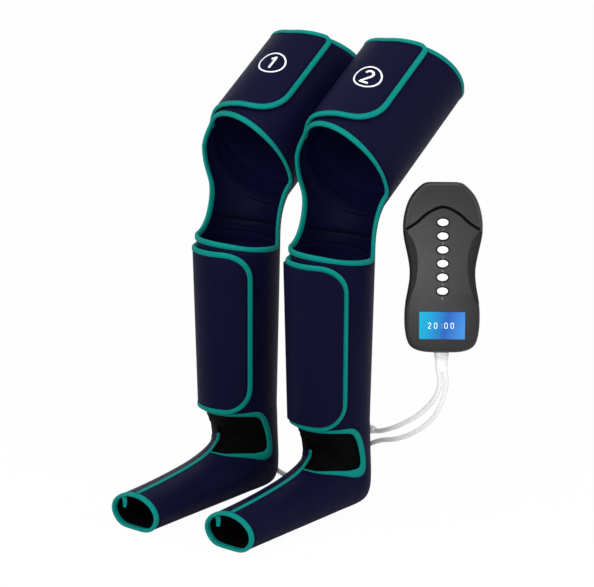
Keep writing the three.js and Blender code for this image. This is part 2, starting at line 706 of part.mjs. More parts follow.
// The stretch gusset fills the instep: behind the wing it starts at the wing's top edge
function makeGusset() {
  const clear = 0.016;
  const wing = range(COLUMN - ANKLE_SIDE, SEAM_ANGLE, COLUMN);
  const angles = [...wing, SEAM_ANGLE + 3, ...range(0, ANKLE_SIDE - COLUMN, COLUMN), ANKLE_SIDE - 4];
  const low = (angle) => (angle <= SEAM_ANGLE ? ankleTop(angle + 360) : footReach(angle)) + clear;
  const place = (column, row) => {
    const angle = angles[column];
    const shift = angle === SEAM_ANGLE ? 1 : 0;
    return [angle + shift, mix(low(angle), 1 - clear, row / ANKLE_ROWS)];
  };
  return shell(angles.length - 1, ANKLE_ROWS, false, place, () => [GUSSET_DEPTH, GUSSET_DEPTH + GUSSET_WALL]);
}

// The ankle's tape lies over the gusset, so it is shallower than the other edges' tape
function ankleBinding(path) {
  const bottom = GUSSET_DEPTH - 1.6;
  const profile = [
    [-2 * SEAM_GAP, -BINDING_PROUD],
    [-BINDING_WIDTH + 2, -BINDING_PROUD],
    [-BINDING_WIDTH, 0.6],
    [-BINDING_WIDTH, bottom],
    [-2 * SEAM_GAP, bottom],
  ];
  return band(path, false, profile);
}

// Hose port: a flange on the back of the ankle and an elbow whose nozzle points along a direction

const elbow = new THREE.Vector3(0, PORT_SEAT + PORT_STANDOFF, PORT_HEIGHT);
const nozzleEnd = (direction) => elbow.clone().addScaledVector(direction, NOZZLE_REACH);

function makePort(direction) {
  const seat = new THREE.Vector3(0, PORT_SEAT, PORT_HEIGHT);
  const radius = HOSE_DIAMETER / 2 + 1.8;
  const body = [[0, 0], [13, 0], [13, 2], [8, 4], [7, PORT_STANDOFF + 4], [0, PORT_STANDOFF + 6]];
  const flange = turned(body, new THREE.Vector3(0, 1, 0), seat, 16);
  const reach = [
    [0, 0], [radius, 0], [radius, NOZZLE_REACH - 8], [radius - 0.8, NOZZLE_REACH - 7],
    [radius - 0.8, NOZZLE_REACH - 5], [radius, NOZZLE_REACH - 4], [radius, NOZZLE_REACH], [0, NOZZLE_REACH],
  ];
  return fromManifold(join(flange, turned(reach, direction, elbow, 12)));
}

function makeSleeve(side, x, y, nozzle) {
  const group = new THREE.Group();
  group.position.set(x, y, 0);
  product.add(group);
  const add = (name, geometry, makeMaterial) => addPiece(`${side}_${name}`, geometry, makeMaterial, group);
  makeFoot(add);
  makeCalf(add);
  makeKnee(add);
  makeThigh(add);
  add('hose_port', makePort(nozzle), valvePlastic);
}

const sleeveX = SLEEVE_SPACING / 2;
const sleeveY = SLEEVE_STAGGER / 2;
const rightNozzle = new THREE.Vector3(0, 0, -1);
const leftNozzle = new THREE.Vector3(1, 0, 0);
makeSleeve('right', -sleeveX, -sleeveY, rightNozzle);
makeSleeve('left', sleeveX, sleeveY, leftNozzle);

// Controller, in its own frame: x to its right, the front face towards -y, z up from its bottom

const controller = new THREE.Group();
controller.rotation.set(CONTROLLER_TILT * RAD, 0, CONTROLLER_TURN * RAD, 'ZYX');
controller.position.set(CONTROLLER_X, CONTROLLER_Y, CONTROLLER_BOTTOM);
product.add(controller);

const outwards = new THREE.Vector3(0, -1, 0);
const frontInside = -CONTROLLER_FRONT_DEPTH + CASE_WALL;
const backInside = CONTROLLER_BACK_DEPTH - CASE_WALL;

function controllerOutline() {
  const side = new THREE.CatmullRomCurve3([
    [0, 0],
    [0.55 * BASE_HALF_WIDTH, 0.02 * BASE_HEIGHT],
    [0.86 * BASE_HALF_WIDTH, 0.14 * BASE_HEIGHT],
    [0.97 * BASE_HALF_WIDTH, 0.42 * BASE_HEIGHT],
    [BASE_HALF_WIDTH, BASE_HEIGHT],
    [WAIST_HALF_WIDTH, WAIST_HEIGHT],
    [SHOULDER_HALF_WIDTH, SHOULDER_HEIGHT],
    [mix(SHOULDER_HALF_WIDTH, TOP_HALF_WIDTH, 0.35), mix(SHOULDER_HEIGHT, CONTROLLER_HEIGHT, 0.66)],
    [TOP_HALF_WIDTH, CONTROLLER_HEIGHT],
  ].map(([x, z]) => new THREE.Vector3(x, z, 0)), false, 'centripetal');
  const right = side.getPoints(16).map((point) => new THREE.Vector2(point.x, point.y));
  const left = right.slice(1).reverse().map((point) => new THREE.Vector2(-point.x, point.y));
  return [...right, ...left];
}

const outline = controllerOutline();

// The controller's body, drawn in by a distance on every side
function caseSolid(inset) {
  const depth = CONTROLLER_FRONT_DEPTH + CONTROLLER_BACK_DEPTH - 2 * (inset + CONTROLLER_EDGE);
  const geometry = new THREE.ExtrudeGeometry(new THREE.Shape(outline), {
    depth,
    steps: 1,
    bevelThickness: CONTROLLER_EDGE,
    bevelSize: CONTROLLER_EDGE,
    bevelOffset: -CONTROLLER_EDGE - inset,
    bevelSegments: 2,
  });
  geometry.rotateX(Math.PI / 2);
  return geometry.translate(0, CONTROLLER_BACK_DEPTH - inset - CONTROLLER_EDGE, 0);
}

// A plate with rounded corners that faces the front, from y to y + thickness
function plate(width, height, corner, thickness, y, z) {
  const shape = roundedShape(width, height, corner);
  const geometry = new THREE.ExtrudeGeometry(shape, { depth: thickness, bevelEnabled: false, curveSegments: 3 });
  return geometry.rotateX(Math.PI / 2).translate(0, y + thickness, z);
}

function roundedShape(width, height, corner) {
  const shape = new THREE.Shape();
  const [x, y] = [width / 2 - corner, height / 2 - corner];
  shape.absarc(x, y, corner, 0, Math.PI / 2);
  shape.absarc(-x, y, corner, Math.PI / 2, Math.PI);
  shape.absarc(-x, -y, corner, Math.PI, 1.5 * Math.PI);
  shape.absarc(x, -y, corner, 1.5 * Math.PI, 2 * Math.PI);
  return shape;
}

function oval(profile, z) {
  const geometry = turned(profile, outwards, new THREE.Vector3(), 16);
  return geometry.scale(1, 1, BUTTON_HALF_HEIGHT / BUTTON_HALF_WIDTH).translate(0, -CONTROLLER_FRONT_DEPTH, z);
}

// The crescent of one side grip, grown by a margin
function gripRegion(side, margin) {
  const waist = (GRIP_LOW + GRIP_HIGH) / 2 + 10;
  const arc = new THREE.CatmullRomCurve3([
    new THREE.Vector3(SHOULDER_HALF_WIDTH - 4 - margin, GRIP_HIGH + margin, 0),
    new THREE.Vector3(GRIP_INNER - margin, waist, 0),
    new THREE.Vector3(BASE_HALF_WIDTH - 4 - margin, GRIP_LOW - margin, 0),
  ], false, 'catmullrom', 0.8).getPoints(8);
  const far = SHOULDER_HALF_WIDTH + 20;
  const points = arc.map((point) => new THREE.Vector2(side * point.x, point.y));
  points.push(new THREE.Vector2(side * far, GRIP_LOW - margin), new THREE.Vector2(side * far, GRIP_HIGH + margin));
  const depth = CONTROLLER_FRONT_DEPTH - 3 + margin;
  const geometry = new THREE.ExtrudeGeometry(new THREE.Shape(points), { depth: depth + 5, bevelEnabled: false });
  return geometry.rotateX(Math.PI / 2).translate(0, depth - CONTROLLER_FRONT_DEPTH, 0);
}

function makeGrip(side) {
  const skin = toManifold(caseSolid(0)).subtract(toManifold(caseSolid(GRIP_THICKNESS)));
  return fromManifold(skin.intersect(toManifold(gripRegion(side, 0))));
}

function gripRecess(side) {
  const region = toManifold(gripRegion(side, SEAM_GAP));
  return region.subtract(toManifold(caseSolid(GRIP_THICKNESS + SEAM_GAP)));
}

const buttonHeights = steps(0, BUTTON_COUNT - 1, BUTTON_COUNT - 1).map((i) => LOWEST_BUTTON + i * BUTTON_PITCH);
const boardFront = frontInside + 8.8;
const boardThickness = 1.6;
const boardBack = boardFront + boardThickness;

function makeButton(z) {
  const flangeFront = -CASE_WALL - SEAM_GAP;
  const flangeBack = flangeFront - 1.5;
  const stemEnd = -CONTROLLER_FRONT_DEPTH - boardFront + BUTTON_TRAVEL + SEAM_GAP;
  const wide = BUTTON_HALF_WIDTH;
  return oval([
    [0, stemEnd], [3, stemEnd], [3, flangeBack], [wide + 1.8, flangeBack], [wide + 1.8, flangeFront],
    [wide, flangeFront], [wide, BUTTON_PROUD - 0.7], [wide - 1.5, BUTTON_PROUD], [0, BUTTON_PROUD],
  ], z);
}

function chevron() {
  const rise = 0.15 * CONTROLLER_HEIGHT;
  const [low, high] = [SHOULDER_HEIGHT - 6, SHOULDER_HEIGHT - 6 + rise * 0.85];
  const reach = SHOULDER_HALF_WIDTH - CONTROLLER_EDGE + 1;
  const points = [[-reach, low], [0, high], [reach, low], [reach, low + 2.4], [0, high + 2.4], [-reach, low + 2.4]];
  const shape = new THREE.Shape(points.map(([x, z]) => new THREE.Vector2(x, z)));
  const geometry = new THREE.ExtrudeGeometry(shape, { depth: 3, bevelEnabled: false });
  return geometry.rotateX(Math.PI / 2).translate(0, 1 - CONTROLLER_FRONT_DEPTH, 0);
}

const glandWidth = HOSE_PITCH + HOSE_DIAMETER + 4;
const glandDepth = HOSE_DIAMETER + 4;

// A slab of the gland, grown by a margin, between two heights
function glandSlab(margin, low, high) {
  const shape = roundedShape(glandWidth + 2 * margin, glandDepth + 2 * margin, glandDepth / 2);
  const geometry = new THREE.ExtrudeGeometry(shape, { depth: high - low, bevelEnabled: false, curveSegments: 3 });
  return geometry.translate(0, 0, low);
}

function makeCase() {
  const far = 4 * CONTROLLER_HEIGHT;
  const whole = toManifold(caseSolid(0)).subtract(toManifold(caseSolid(CASE_WALL)));
  const open = cut(whole, glandSlab(SEAM_GAP, -GLAND_DROP, 2 * CASE_WALL));
  const hole = BUTTON_HALF_WIDTH + BUTTON_CLEARANCE;
  const through = [[0, -2 * CASE_WALL], [hole, -2 * CASE_WALL], [hole, CASE_WALL], [0, CASE_WALL]];
  const lensDepth = LENS_THICKNESS + SEAM_GAP;
  const faceHoles = [
    ...buttonHeights.map((z) => oval(through, z)),
    plate(SCREEN_WIDTH + 2 * SEAM_GAP, SCREEN_HEIGHT + 2 * SEAM_GAP, 4 + SEAM_GAP, lensDepth + 1,
      -CONTROLLER_FRONT_DEPTH - 1, SCREEN_CENTRE),
    plate(SCREEN_WIDTH - 5, SCREEN_HEIGHT - 5, 2, 2 * CASE_WALL, -CONTROLLER_FRONT_DEPTH, SCREEN_CENTRE),
    chevron(),
  ];
  const front = cut(open, box(far, far, far, 0, far / 2 - SEAM_GAP / 2, 0), ...faceHoles);
  const ribbed = front.subtract(gripRecess(1)).subtract(gripRecess(-1));

  const post = turned([[0, 0], [3.5, 0], [3.5, backInside - boardBack + 0.5], [0, backInside - boardBack + 0.5]],
    new THREE.Vector3(0, 1, 0), new THREE.Vector3(), 8);
  const posts = [[-1, 0], [1, 0], [-1, 1], [1, 1]].map(([side, up]) => (
    post.clone().translate(side * 0.64 * WAIST_HALF_WIDTH, boardBack + SEAM_GAP, mix(GRIP_LOW, GRIP_HIGH, up * 0.9))
  ));
  const back = cut(open, box(far, far, far, 0, -far / 2 + SEAM_GAP / 2, 0));
  const posted = posts.reduce((body, next) => body.add(toManifold(next)), back);
  return [fromManifold(ribbed), fromManifold(posted)];
}

function makeController() {
  const add = (name, geometry, makeMaterial) => addPiece(name, geometry, makeMaterial, controller);
  const [front, back] = makeCase();
  add('front_case', front, casePlastic);
  add('back_case', back, casePlastic);
  add('grip_right', makeGrip(-1), gripRubber);
  add('grip_left', makeGrip(1), gripRubber);
  buttonHeights.forEach((z, i) => add(`button_${i + 1}`, makeButton(z), whitePlastic));

  const lens = plate(SCREEN_WIDTH, SCREEN_HEIGHT, 4, LENS_THICKNESS, -CONTROLLER_FRONT_DEPTH, SCREEN_CENTRE);
  add('screen_lens', lens, screenGlass);
  const lcdY = frontInside + SEAM_GAP + 1.75;
  add('lcd_module', box(SCREEN_WIDTH, 3.5, SCREEN_HEIGHT, 0, lcdY, SCREEN_CENTRE), valvePlastic);

  const boardLow = GRIP_LOW - 10;
  const boardHigh = GRIP_HIGH;
  const boardZ = (boardLow + boardHigh) / 2;
  const boardY = boardFront + boardThickness / 2;
  add('circuit_board', box(1.5 * WAIST_HALF_WIDTH, boardThickness, boardHigh - boardLow, 0, boardY, boardZ), boardGreen);

  const pumpRadius = 13;
  const pump = [
    [0, 0], [pumpRadius, 0], [pumpRadius, 28], [pumpRadius - 2.5, 29], [pumpRadius - 2.5, 52], [0, 52],
  ];
  const pumpSeat = new THREE.Vector3(0, backInside - SEAM_GAP - pumpRadius, WAIST_HEIGHT + 12);
  add('air_pump', turned(pump, new THREE.Vector3(0, 0, 1), pumpSeat, 16), pumpMetal);

  const valveDepth = 20;
  const valveY = backInside - SEAM_GAP - valveDepth / 2;
  const spigot = (x) => turned([[0, 0], [3, 0], [3, 16], [0, 16]], new THREE.Vector3(0, 0, 1),
    new THREE.Vector3(x, valveY, BASE_HEIGHT + 8), 8);
  const valve = join(
    box(36, valveDepth, 24, 0, valveY, BASE_HEIGHT + 32), spigot(HOSE_PITCH / 2), spigot(-HOSE_PITCH / 2),
  );
  add('valve_block', fromManifold(valve), valvePlastic);

  const flangeLow = CASE_WALL + 0.6;
  const gland = join(glandSlab(0, -GLAND_DROP, flangeLow + 1), glandSlab(2.5, flangeLow, flangeLow + 2.5));
  add('hose_gland', fromManifold(gland), gripRubber);
}

makeController();

// Hoses: they drop from the gland, swing down behind the sleeves and end at the ports' nozzles

const hoseSection = new THREE.Shape(range(0, 315, 45).map((angle) => new THREE.Vector2(
  HOSE_DIAMETER / 2 * Math.cos(angle * RAD), HOSE_DIAMETER / 2 * Math.sin(angle * RAD),
)));

function makeHose(side, sleeve, nozzle, middle) {
  controller.updateMatrixWorld();
  const start = new THREE.Vector3(side * HOSE_PITCH / 2, 0, -GLAND_DROP - SEAM_GAP);
  const below = start.clone().add(new THREE.Vector3(0, 0, -14));
  const place = new THREE.Vector3(sleeve * sleeveX, sleeve * sleeveY, 0);
  const end = nozzleEnd(nozzle).add(place).addScaledVector(nozzle, SEAM_GAP);
  const before = end.clone().addScaledVector(nozzle, 10);
  const path = new THREE.CatmullRomCurve3([
    controller.localToWorld(start),
    controller.localToWorld(below),
    ...middle.map(([x, y, z]) => new THREE.Vector3(x, y, z)),
    before,
    end,
  ], false, 'centripetal');
  return new THREE.ExtrudeGeometry(hoseSection, { steps: HOSE_STEPS, extrudePath: path });
}

addPiece('hose_left', makeHose(-1, 1, leftNozzle, HOSE_LEFT_POINTS), hoseVinyl);
addPiece('hose_right', makeHose(1, -1, rightNozzle, HOSE_RIGHT_POINTS), hoseVinyl);

// The origin is at the middle of the whole, hoses left out, on the floor
const extent = new THREE.Box3();
product.updateMatrixWorld(true);
product.traverse((piece) => {
  if (piece.isMesh && !piece.name.startsWith('hose_')) extent.expandByObject(piece, true);
});
product.position.set(-(extent.min.x + extent.max.x) / 2, -(extent.min.y + extent.max.y) / 2, -extent.min.z);

export default product;
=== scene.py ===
import math

import bmesh
import bpy
import numpy as np
from mathutils import Matrix, Vector


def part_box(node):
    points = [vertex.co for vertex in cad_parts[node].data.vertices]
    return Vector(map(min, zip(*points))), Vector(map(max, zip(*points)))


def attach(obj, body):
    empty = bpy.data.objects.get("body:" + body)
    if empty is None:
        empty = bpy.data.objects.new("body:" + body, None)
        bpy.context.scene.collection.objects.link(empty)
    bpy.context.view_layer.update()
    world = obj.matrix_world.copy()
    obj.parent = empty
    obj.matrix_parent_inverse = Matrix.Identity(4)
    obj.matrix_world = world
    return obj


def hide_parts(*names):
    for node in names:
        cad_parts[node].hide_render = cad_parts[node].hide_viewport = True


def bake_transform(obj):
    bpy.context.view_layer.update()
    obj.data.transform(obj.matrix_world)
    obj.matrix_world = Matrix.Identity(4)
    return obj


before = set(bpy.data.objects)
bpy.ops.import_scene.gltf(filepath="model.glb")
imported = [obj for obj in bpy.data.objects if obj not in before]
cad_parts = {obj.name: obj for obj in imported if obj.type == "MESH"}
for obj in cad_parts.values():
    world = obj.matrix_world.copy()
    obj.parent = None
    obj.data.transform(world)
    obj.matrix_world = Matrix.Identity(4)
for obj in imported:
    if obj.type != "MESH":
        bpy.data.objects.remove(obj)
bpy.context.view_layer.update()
RAD = math.pi / 180

# Sleeve sizes
FOOT_LENGTH = 234
TOE_HEIGHT = 56
TOE_HALF_WIDTH = 44
INSTEP_HEIGHT = 78
INSTEP_REACH = 47
ANKLE_WAIST_HEIGHT = 97
HEEL_REACH = 61
HEEL_HALF_WIDTH = 54
SOLE_FLATTENING = 4
ANKLE_TOP = 137
CALF_LENGTH = 257
ANKLE_HALF_WIDTH = 56
ANKLE_HALF_DEPTH = 61
CALF_HALF_WIDTH = 62
CALF_HALF_DEPTH = 67
CALF_TOP = ANKLE_TOP + CALF_LENGTH
KNEE_RISE = 103
THIGH_LEAN = 35
THIGH_HALF_WIDTH = 75
THIGH_HALF_DEPTH = 85
THIGH_START = 32
THIGH_LENGTH = 217
RIM_SLANT = 28
RIM_BULGE = 13
KNEE_LEFT_LIFT = 18
WALL = 4
BINDING_WIDTH = 8
BINDING_PROUD = 0.8
BINDING_TONGUE = 1.5
GUSSET_DEPTH = 4
HOOK_THICKNESS = 1.8
HINGE_SEAM = 1.2
STRIP_CLEARANCE = 0.4
STRIP_THICKNESS = 0.7
PAD_CLEARANCE = 0.6
PAD_EDGE = 4
PAD_SWELL = 5
FLAP_ROOT = -60
UNDERLAP = -30
CALF_FLAP_EDGE = 54
THIGH_FLAP_EDGE = 41
KNEE_RIGHT = 120
KNEE_LEFT = -58
KNEE_LOW_LEFT = -76
KNEE_SWELL = 4
CALF_FLAP_LOW = ANKLE_TOP + 9
CALF_FLAP_HIGH = CALF_TOP - 10
CALF_FLAP_CORNER = 34
THIGH_FLAP_BOTTOM = 67
THIGH_FLAP_CORNER = 40
SEAM_ANGLE = -15
TOE_CURL_ANGLE = -38
ANKLE_SIDE = 90
INSTEP_LOW = 0.44
INSTEP_RISE = 0.2
WING_TOP = 0.72
WAIST_DRAW = 10
SOLE_EASE = 6
GAP = 0.3
ELBOW = (0, 74.5, 106)
NOZZLE = 22
HOSE_RADIUS = 3.8
HOSE_PITCH = 9
MARK_RADIUS = 19.6
MARK_PROUD = 0.28
MERGE = 2e-5  # in metres: points nearer than this are one

# Controller sizes
TURN = 37
TILT = -14
FRONT_DEPTH = 23
BACK_DEPTH = 25
EDGE = 7
HEIGHT = 250
TOP_HALF = 28
SHOULDER = (58.5, 187)
WAIST = (47.5, 117)
BASE = (55, 62)
LOWEST_BUTTON = 90
BUTTON_PITCH = 20.1
BUTTONS = [LOWEST_BUTTON + BUTTON_PITCH * i for i in range(6)]
SCREEN_WIDTH = 67
SCREEN_HEIGHT = 40
SCREEN_Z = 39.5
CASE_WALL = 3.2
PRINT_PROUD = 0.12
SCREWS = [(x, z) for x in (-30, 30) for z in (76, 168)]
VENTS = [128 + 6 * k for k in range(7)]
GRIP_LOW = 72
GRIP_HIGH = 178
CONTROLLER_X = 232
CONTROLLER_Y = 81
CONTROLLER_Z = 255
GLAND_DROP = 10
CROWN = 0.5

# Where the sleeves and the controller stand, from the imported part
PLACES = {}
for side in ("right", "left"):
    lows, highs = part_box(side + "_foot_wrap")
    PLACES[side] = ((lows.x + highs.x) * 500, lows.y * 1000 + FOOT_LENGTH)
middle = tuple((a + b) / 2 for a, b in zip(PLACES["right"], PLACES["left"]))
controller_turn = Matrix.Rotation(TURN * RAD, 3, "Z") @ Matrix.Rotation(TILT * RAD, 3, "X")
controller_at = Vector((middle[0] + CONTROLLER_X, middle[1] + CONTROLLER_Y, CONTROLLER_Z))


def on_controller(points):
    turned = np.asarray(points, float) @ np.array(controller_turn).T
    return turned + np.array(controller_at)


def towards(turn, rise):
    """The way from the part to a camera or a lamp at these angles."""
    return Vector((math.sin(turn) * math.cos(rise), -math.cos(turn) * math.cos(rise), math.sin(rise)))


# Camera at the photograph's angle
CAMERA_AZIMUTH = 38.92
CAMERA_ELEVATION = 15.02
CAMERA_DISTANCE = 3500
AIM_HEIGHT = 321.99
AIM_RIGHT = 18.64
FOCAL_PIXELS = 2333.6
FRAME_WIDTH = 594
SENSOR = 36
azimuth = CAMERA_AZIMUTH * RAD
right_dir = Vector((math.cos(azimuth), math.sin(azimuth), 0))
back_dir = towards(azimuth, CAMERA_ELEVATION * RAD)
aim = Vector((middle[0], middle[1], AIM_HEIGHT)) + AIM_RIGHT * right_dir
camera = bpy.data.objects.new("camera", bpy.data.cameras.new("camera"))
camera.data.sensor_width = SENSOR
camera.data.lens = FOCAL_PIXELS / FRAME_WIDTH * SENSOR
camera.data.clip_end = 100
axes = Matrix((right_dir, back_dir.cross(right_dir), back_dir)).transposed()
camera.matrix_world = Matrix.Translation((aim + CAMERA_DISTANCE * back_dir) / 1000) @ axes.to_4x4()
bpy.context.scene.collection.objects.link(camera)
bpy.context.scene.camera = camera


# Curves

def catmull(points, centripetal=False):
    """A smooth curve through points, as a function of its share from 0 to 1."""
    p = np.array(points, float)
    count = len(p) - 1
    p = np.vstack([2 * p[0] - p[1], p, 2 * p[-1] - p[-2]])

    def at(t):
        t = np.clip(np.asarray(t, float), 0, 1) * count
        i = np.minimum(t.astype(int), count - 1)
        w = (t - i)[..., None]
        a, b, c, d = p[i], p[i + 1], p[i + 2], p[i + 3]
        if centripetal:
            ab, bc, cd = (np.sqrt(np.linalg.norm(y - x, axis=-1))[..., None]
                          for x, y in ((a, b), (b, c), (c, d)))
            m1 = ((b - a) / ab - (c - a) / (ab + bc) + (c - b) / bc) * bc
            m2 = ((c - b) / bc - (d - b) / (bc + cd) + (d - c) / cd) * bc
        else:
            m1, m2 = 0.5 * (c - a), 0.5 * (d - b)
        return b + m1 * w + (3 * (c - b) - 2 * m1 - m2) * w**2 + (2 * (b - c) + m1 + m2) * w**3

    return at


def smooth(low, high, value):
    share = np.clip((np.asarray(value, float) - low) / (high - low), 0, 1)
    return share * share * (3 - 2 * share)


def mix(a, b, share):
    return a + (b - a) * share


def circle(count):
    return np.linspace(0, 2 * math.pi, count, endpoint=False)


def turns(angle):
    """An angle brought between -180 and 180 degrees."""
    return (np.asarray(angle, float) + 540) % 360 - 180


# The sleeve's surface

foot_top = catmull([
    (-FOOT_LENGTH, TOE_HEIGHT),
    (-0.78 * FOOT_LENGTH, TOE_HEIGHT + 2),
    (-0.55 * FOOT_LENGTH, TOE_HEIGHT + 6),
    (-0.37 * FOOT_LENGTH, INSTEP_HEIGHT - 11),
    (-INSTEP_REACH - 14, INSTEP_HEIGHT - 5),
    (-INSTEP_REACH - 3 + 0.5 * WAIST_DRAW, INSTEP_HEIGHT + 3),
    (-INSTEP_REACH + 2 + WAIST_DRAW, ANKLE_WAIST_HEIGHT - 8),
    (-INSTEP_REACH + 1 + WAIST_DRAW, ANKLE_WAIST_HEIGHT + 5),
    (-INSTEP_REACH - 5 + 0.3 * WAIST_DRAW, ANKLE_WAIST_HEIGHT + 21),
    (-ANKLE_HALF_DEPTH, ANKLE_TOP),
])
foot_bottom = catmull([
    (-FOOT_LENGTH, -SOLE_FLATTENING),
    (-0.77 * FOOT_LENGTH, -SOLE_FLATTENING),
    (-0.53 * FOOT_LENGTH, -SOLE_FLATTENING),
    (-0.3 * FOOT_LENGTH, -SOLE_FLATTENING),
    (-0.08 * FOOT_LENGTH, -SOLE_FLATTENING),
    (HEEL_REACH - 21, -SOLE_FLATTENING),
    (HEEL_REACH - 4, 8),
    (HEEL_REACH, 36),
    (HEEL_REACH, ANKLE_WAIST_HEIGHT - 8),
    (ANKLE_HALF_DEPTH, ANKLE_TOP),
])
KNEE = np.array([0.0, CALF_TOP + KNEE_RISE])
THIGH_AXIS = np.array([math.cos(THIGH_LEAN * RAD), math.sin(THIGH_LEAN * RAD)])
THIGH_FRONT = np.array([-THIGH_AXIS[1], THIGH_AXIS[0]])


def section(station):
    """The front point, back point and half width of the sleeve's section at a station."""
    step = 0.01
    s = np.asarray(station, float)
    t = np.clip(s, 0, 1)
    front, back = foot_top(t), foot_bottom(t)
    half = mix(mix(TOE_HALF_WIDTH, HEEL_HALF_WIDTH, smooth(0, 0.6, t)), ANKLE_HALF_WIDTH, smooth(0.5, 1, t))
    before = np.minimum(s, 0)[..., None] / step
    front = front + before * (foot_top(step) - foot_top(0.0))
    back = back + before * (foot_bottom(step) - foot_bottom(0.0))

    t = s - 1
    high, depth = ANKLE_TOP + CALF_LENGTH * t, mix(ANKLE_HALF_DEPTH, CALF_HALF_DEPTH, t)
    calf = (s > 1)[..., None]
    front = np.where(calf, np.stack([-depth, high], -1), front)
    back = np.where(calf, np.stack([depth, high], -1), back)
    half = np.where(s > 1, mix(ANKLE_HALF_WIDTH, CALF_HALF_WIDTH, t), half)

    t = np.clip(s - 2, 0, 1)[..., None]
    start, end = np.array([0.0, CALF_TOP]), KNEE + THIGH_AXIS * THIGH_START
    bend = (1 - t) ** 2 * start + 2 * t * (1 - t) * KNEE + t**2 * end
    ease = smooth(0, 1, t)
    turn = (90 - THIGH_LEAN) * RAD * ease
    chord = np.concatenate([-np.cos(turn), np.sin(turn)], -1) * mix(CALF_HALF_DEPTH, THIGH_HALF_DEPTH, ease)
    knee = (s > 2)[..., None]
    front, back = np.where(knee, bend + chord, front), np.where(knee, bend - chord, back)
    half = np.where(s > 2, mix(CALF_HALF_WIDTH, THIGH_HALF_WIDTH, ease[..., 0]), half)

    centre = KNEE + THIGH_AXIS * (THIGH_START + THIGH_LENGTH * (s - 3))[..., None]
    thigh = (s > 3)[..., None]
    front = np.where(thigh, centre + THIGH_FRONT * THIGH_HALF_DEPTH, front)
    back = np.where(thigh, centre - THIGH_FRONT * THIGH_HALF_DEPTH, back)
    return front, back, np.where(s > 3, THIGH_HALF_WIDTH, half)


def surface(angle, station, depth):
    """Points of the sleeve, at a depth inside its outer face. Stations: 0 to 1 the foot, to 2 the calf,
    to 3 the knee and to 4 the thigh."""
    angle, station, depth = np.broadcast_arrays(*(np.asarray(v, float) for v in (angle, station, depth)))
    front, back, half = section(station)
    centre, chord = (front + back) / 2, (front - back) / 2
    reach = 1 - depth / np.linalg.norm(chord, axis=-1)
    offset = chord * (reach * np.cos(angle * RAD))[..., None]
    across = (half - depth) * np.sin(angle * RAD)
    ground = np.where(depth < 0, 0.4, depth)
    above = centre[..., 1] + offset[..., 1] - ground
    eased = (above + np.sqrt(above**2 + SOLE_EASE**2)) / 2 - SOLE_EASE / 4 * np.exp(-((above / 8) ** 2))
    return np.stack([across, centre[..., 0] + offset[..., 0], ground + eased], -1)


def on_calf(high):
    return 1 + (high - ANKLE_TOP) / CALF_LENGTH


def on_thigh(along):
    return 3 + (along - THIGH_START) / THIGH_LENGTH


# Meshes

def shade(mesh, smooth_angle):
    mesh.polygons.foreach_set("use_smooth", [True] * len(mesh.polygons))
    mesh.set_sharp_from_angle(angle=smooth_angle * RAD)


def make(name, points, faces, material, uvs=None, place=(0, 0), smooth_angle=40):
    points = np.asarray(points, float).copy()
    points[:, :2] += place
    mesh = bpy.data.meshes.new(name)
    mesh.from_pydata((points / 1000).tolist(), [], [tuple(int(i) for i in f) for f in faces])
    if uvs is not None:
        layer = mesh.uv_layers.new(name="UVMap")
        layer.data.foreach_set("uv", np.asarray(uvs, np.float32).ravel())
    mesh.validate()
    tool = bmesh.new()
    tool.from_mesh(mesh)
    bmesh.ops.remove_doubles(tool, verts=tool.verts, dist=MERGE)
    bmesh.ops.recalc_face_normals(tool, faces=tool.faces)
    tool.to_mesh(mesh)
    tool.free()
    shade(mesh, smooth_angle)
    mesh.materials.append(material)
    obj = bpy.data.objects.new(name, mesh)
    bpy.context.scene.collection.objects.link(obj)
    return obj


def baked(obj):
    depsgraph = bpy.context.evaluated_depsgraph_get()
    mesh = bpy.data.meshes.new_from_object(obj.evaluated_get(depsgraph))
    obj.modifiers.clear()
    obj.data = mesh
    return obj


def thicken(obj, thickness, outwards=-1, inner=None):
    solid = obj.modifiers.new("solid", "SOLIDIFY")
    if inner is not None:
        obj.data.materials.append(inner)
        solid.material_offset = 1
    solid.thickness = thickness / 1000
    solid.offset = outwards
    solid.use_even_offset = True
    return baked(obj)


def grid_faces(rows, columns, start=0, ring=False):
    faces = []
    for r in range(rows - 1):
        for c in range(columns if ring else columns - 1):
            d = (c + 1) % columns
            faces.append((start + r * columns + c, start + r * columns + d,
                          start + (r + 1) * columns + d, start + (r + 1) * columns + c))
    return faces


def grid_uvs(points, ring=False):
    """Millimetres across and along a grid of points, one pair for each face corner."""
    rows, columns = points.shape[:2]
    wide = np.concatenate([points, points[:, :1]], 1) if ring else points
    across = np.linalg.norm(np.diff(wide, axis=1), axis=-1).mean(0)
    along = np.linalg.norm(np.diff(points, axis=0), axis=-1).mean(1)
    u, v = np.concatenate([[0], np.cumsum(across)]), np.concatenate([[0], np.cumsum(along)])
    uvs = []
    for r in range(rows - 1):
        for c in range(columns if ring else columns - 1):
            uvs += [(u[c], v[r]), (u[c + 1], v[r]), (u[c + 1], v[r + 1]), (u[c], v[r + 1])]
    return uvs


def grid_piece(name, points, material, place):
    faces = grid_faces(*points.shape[:2])
    return make(name, points.reshape(-1, 3), faces, material, grid_uvs(points), place)


def cover(name, angles, stations, depths, place, inner=None):
    """A fabric cover: its outer face over a grid, then its thickness inwards."""
    points = surface(angles, stations, depths)
    return thicken(grid_piece(name, points, navy, place=place), WALL, inner=inner)


# Tapes and bindings

def scale_at(path):
    """Millimetres for one degree and for one station, at each point of a path."""
    a, s = path[:, 0], path[:, 1]
    small = 0.01
    across = np.linalg.norm(surface(a + small, s, 0) - surface(a - small, s, 0), axis=1) / (2 * small)
    along = np.linalg.norm(surface(a, s + small, 0) - surface(a, s - small, 0), axis=1) / (2 * small)
    return across, along


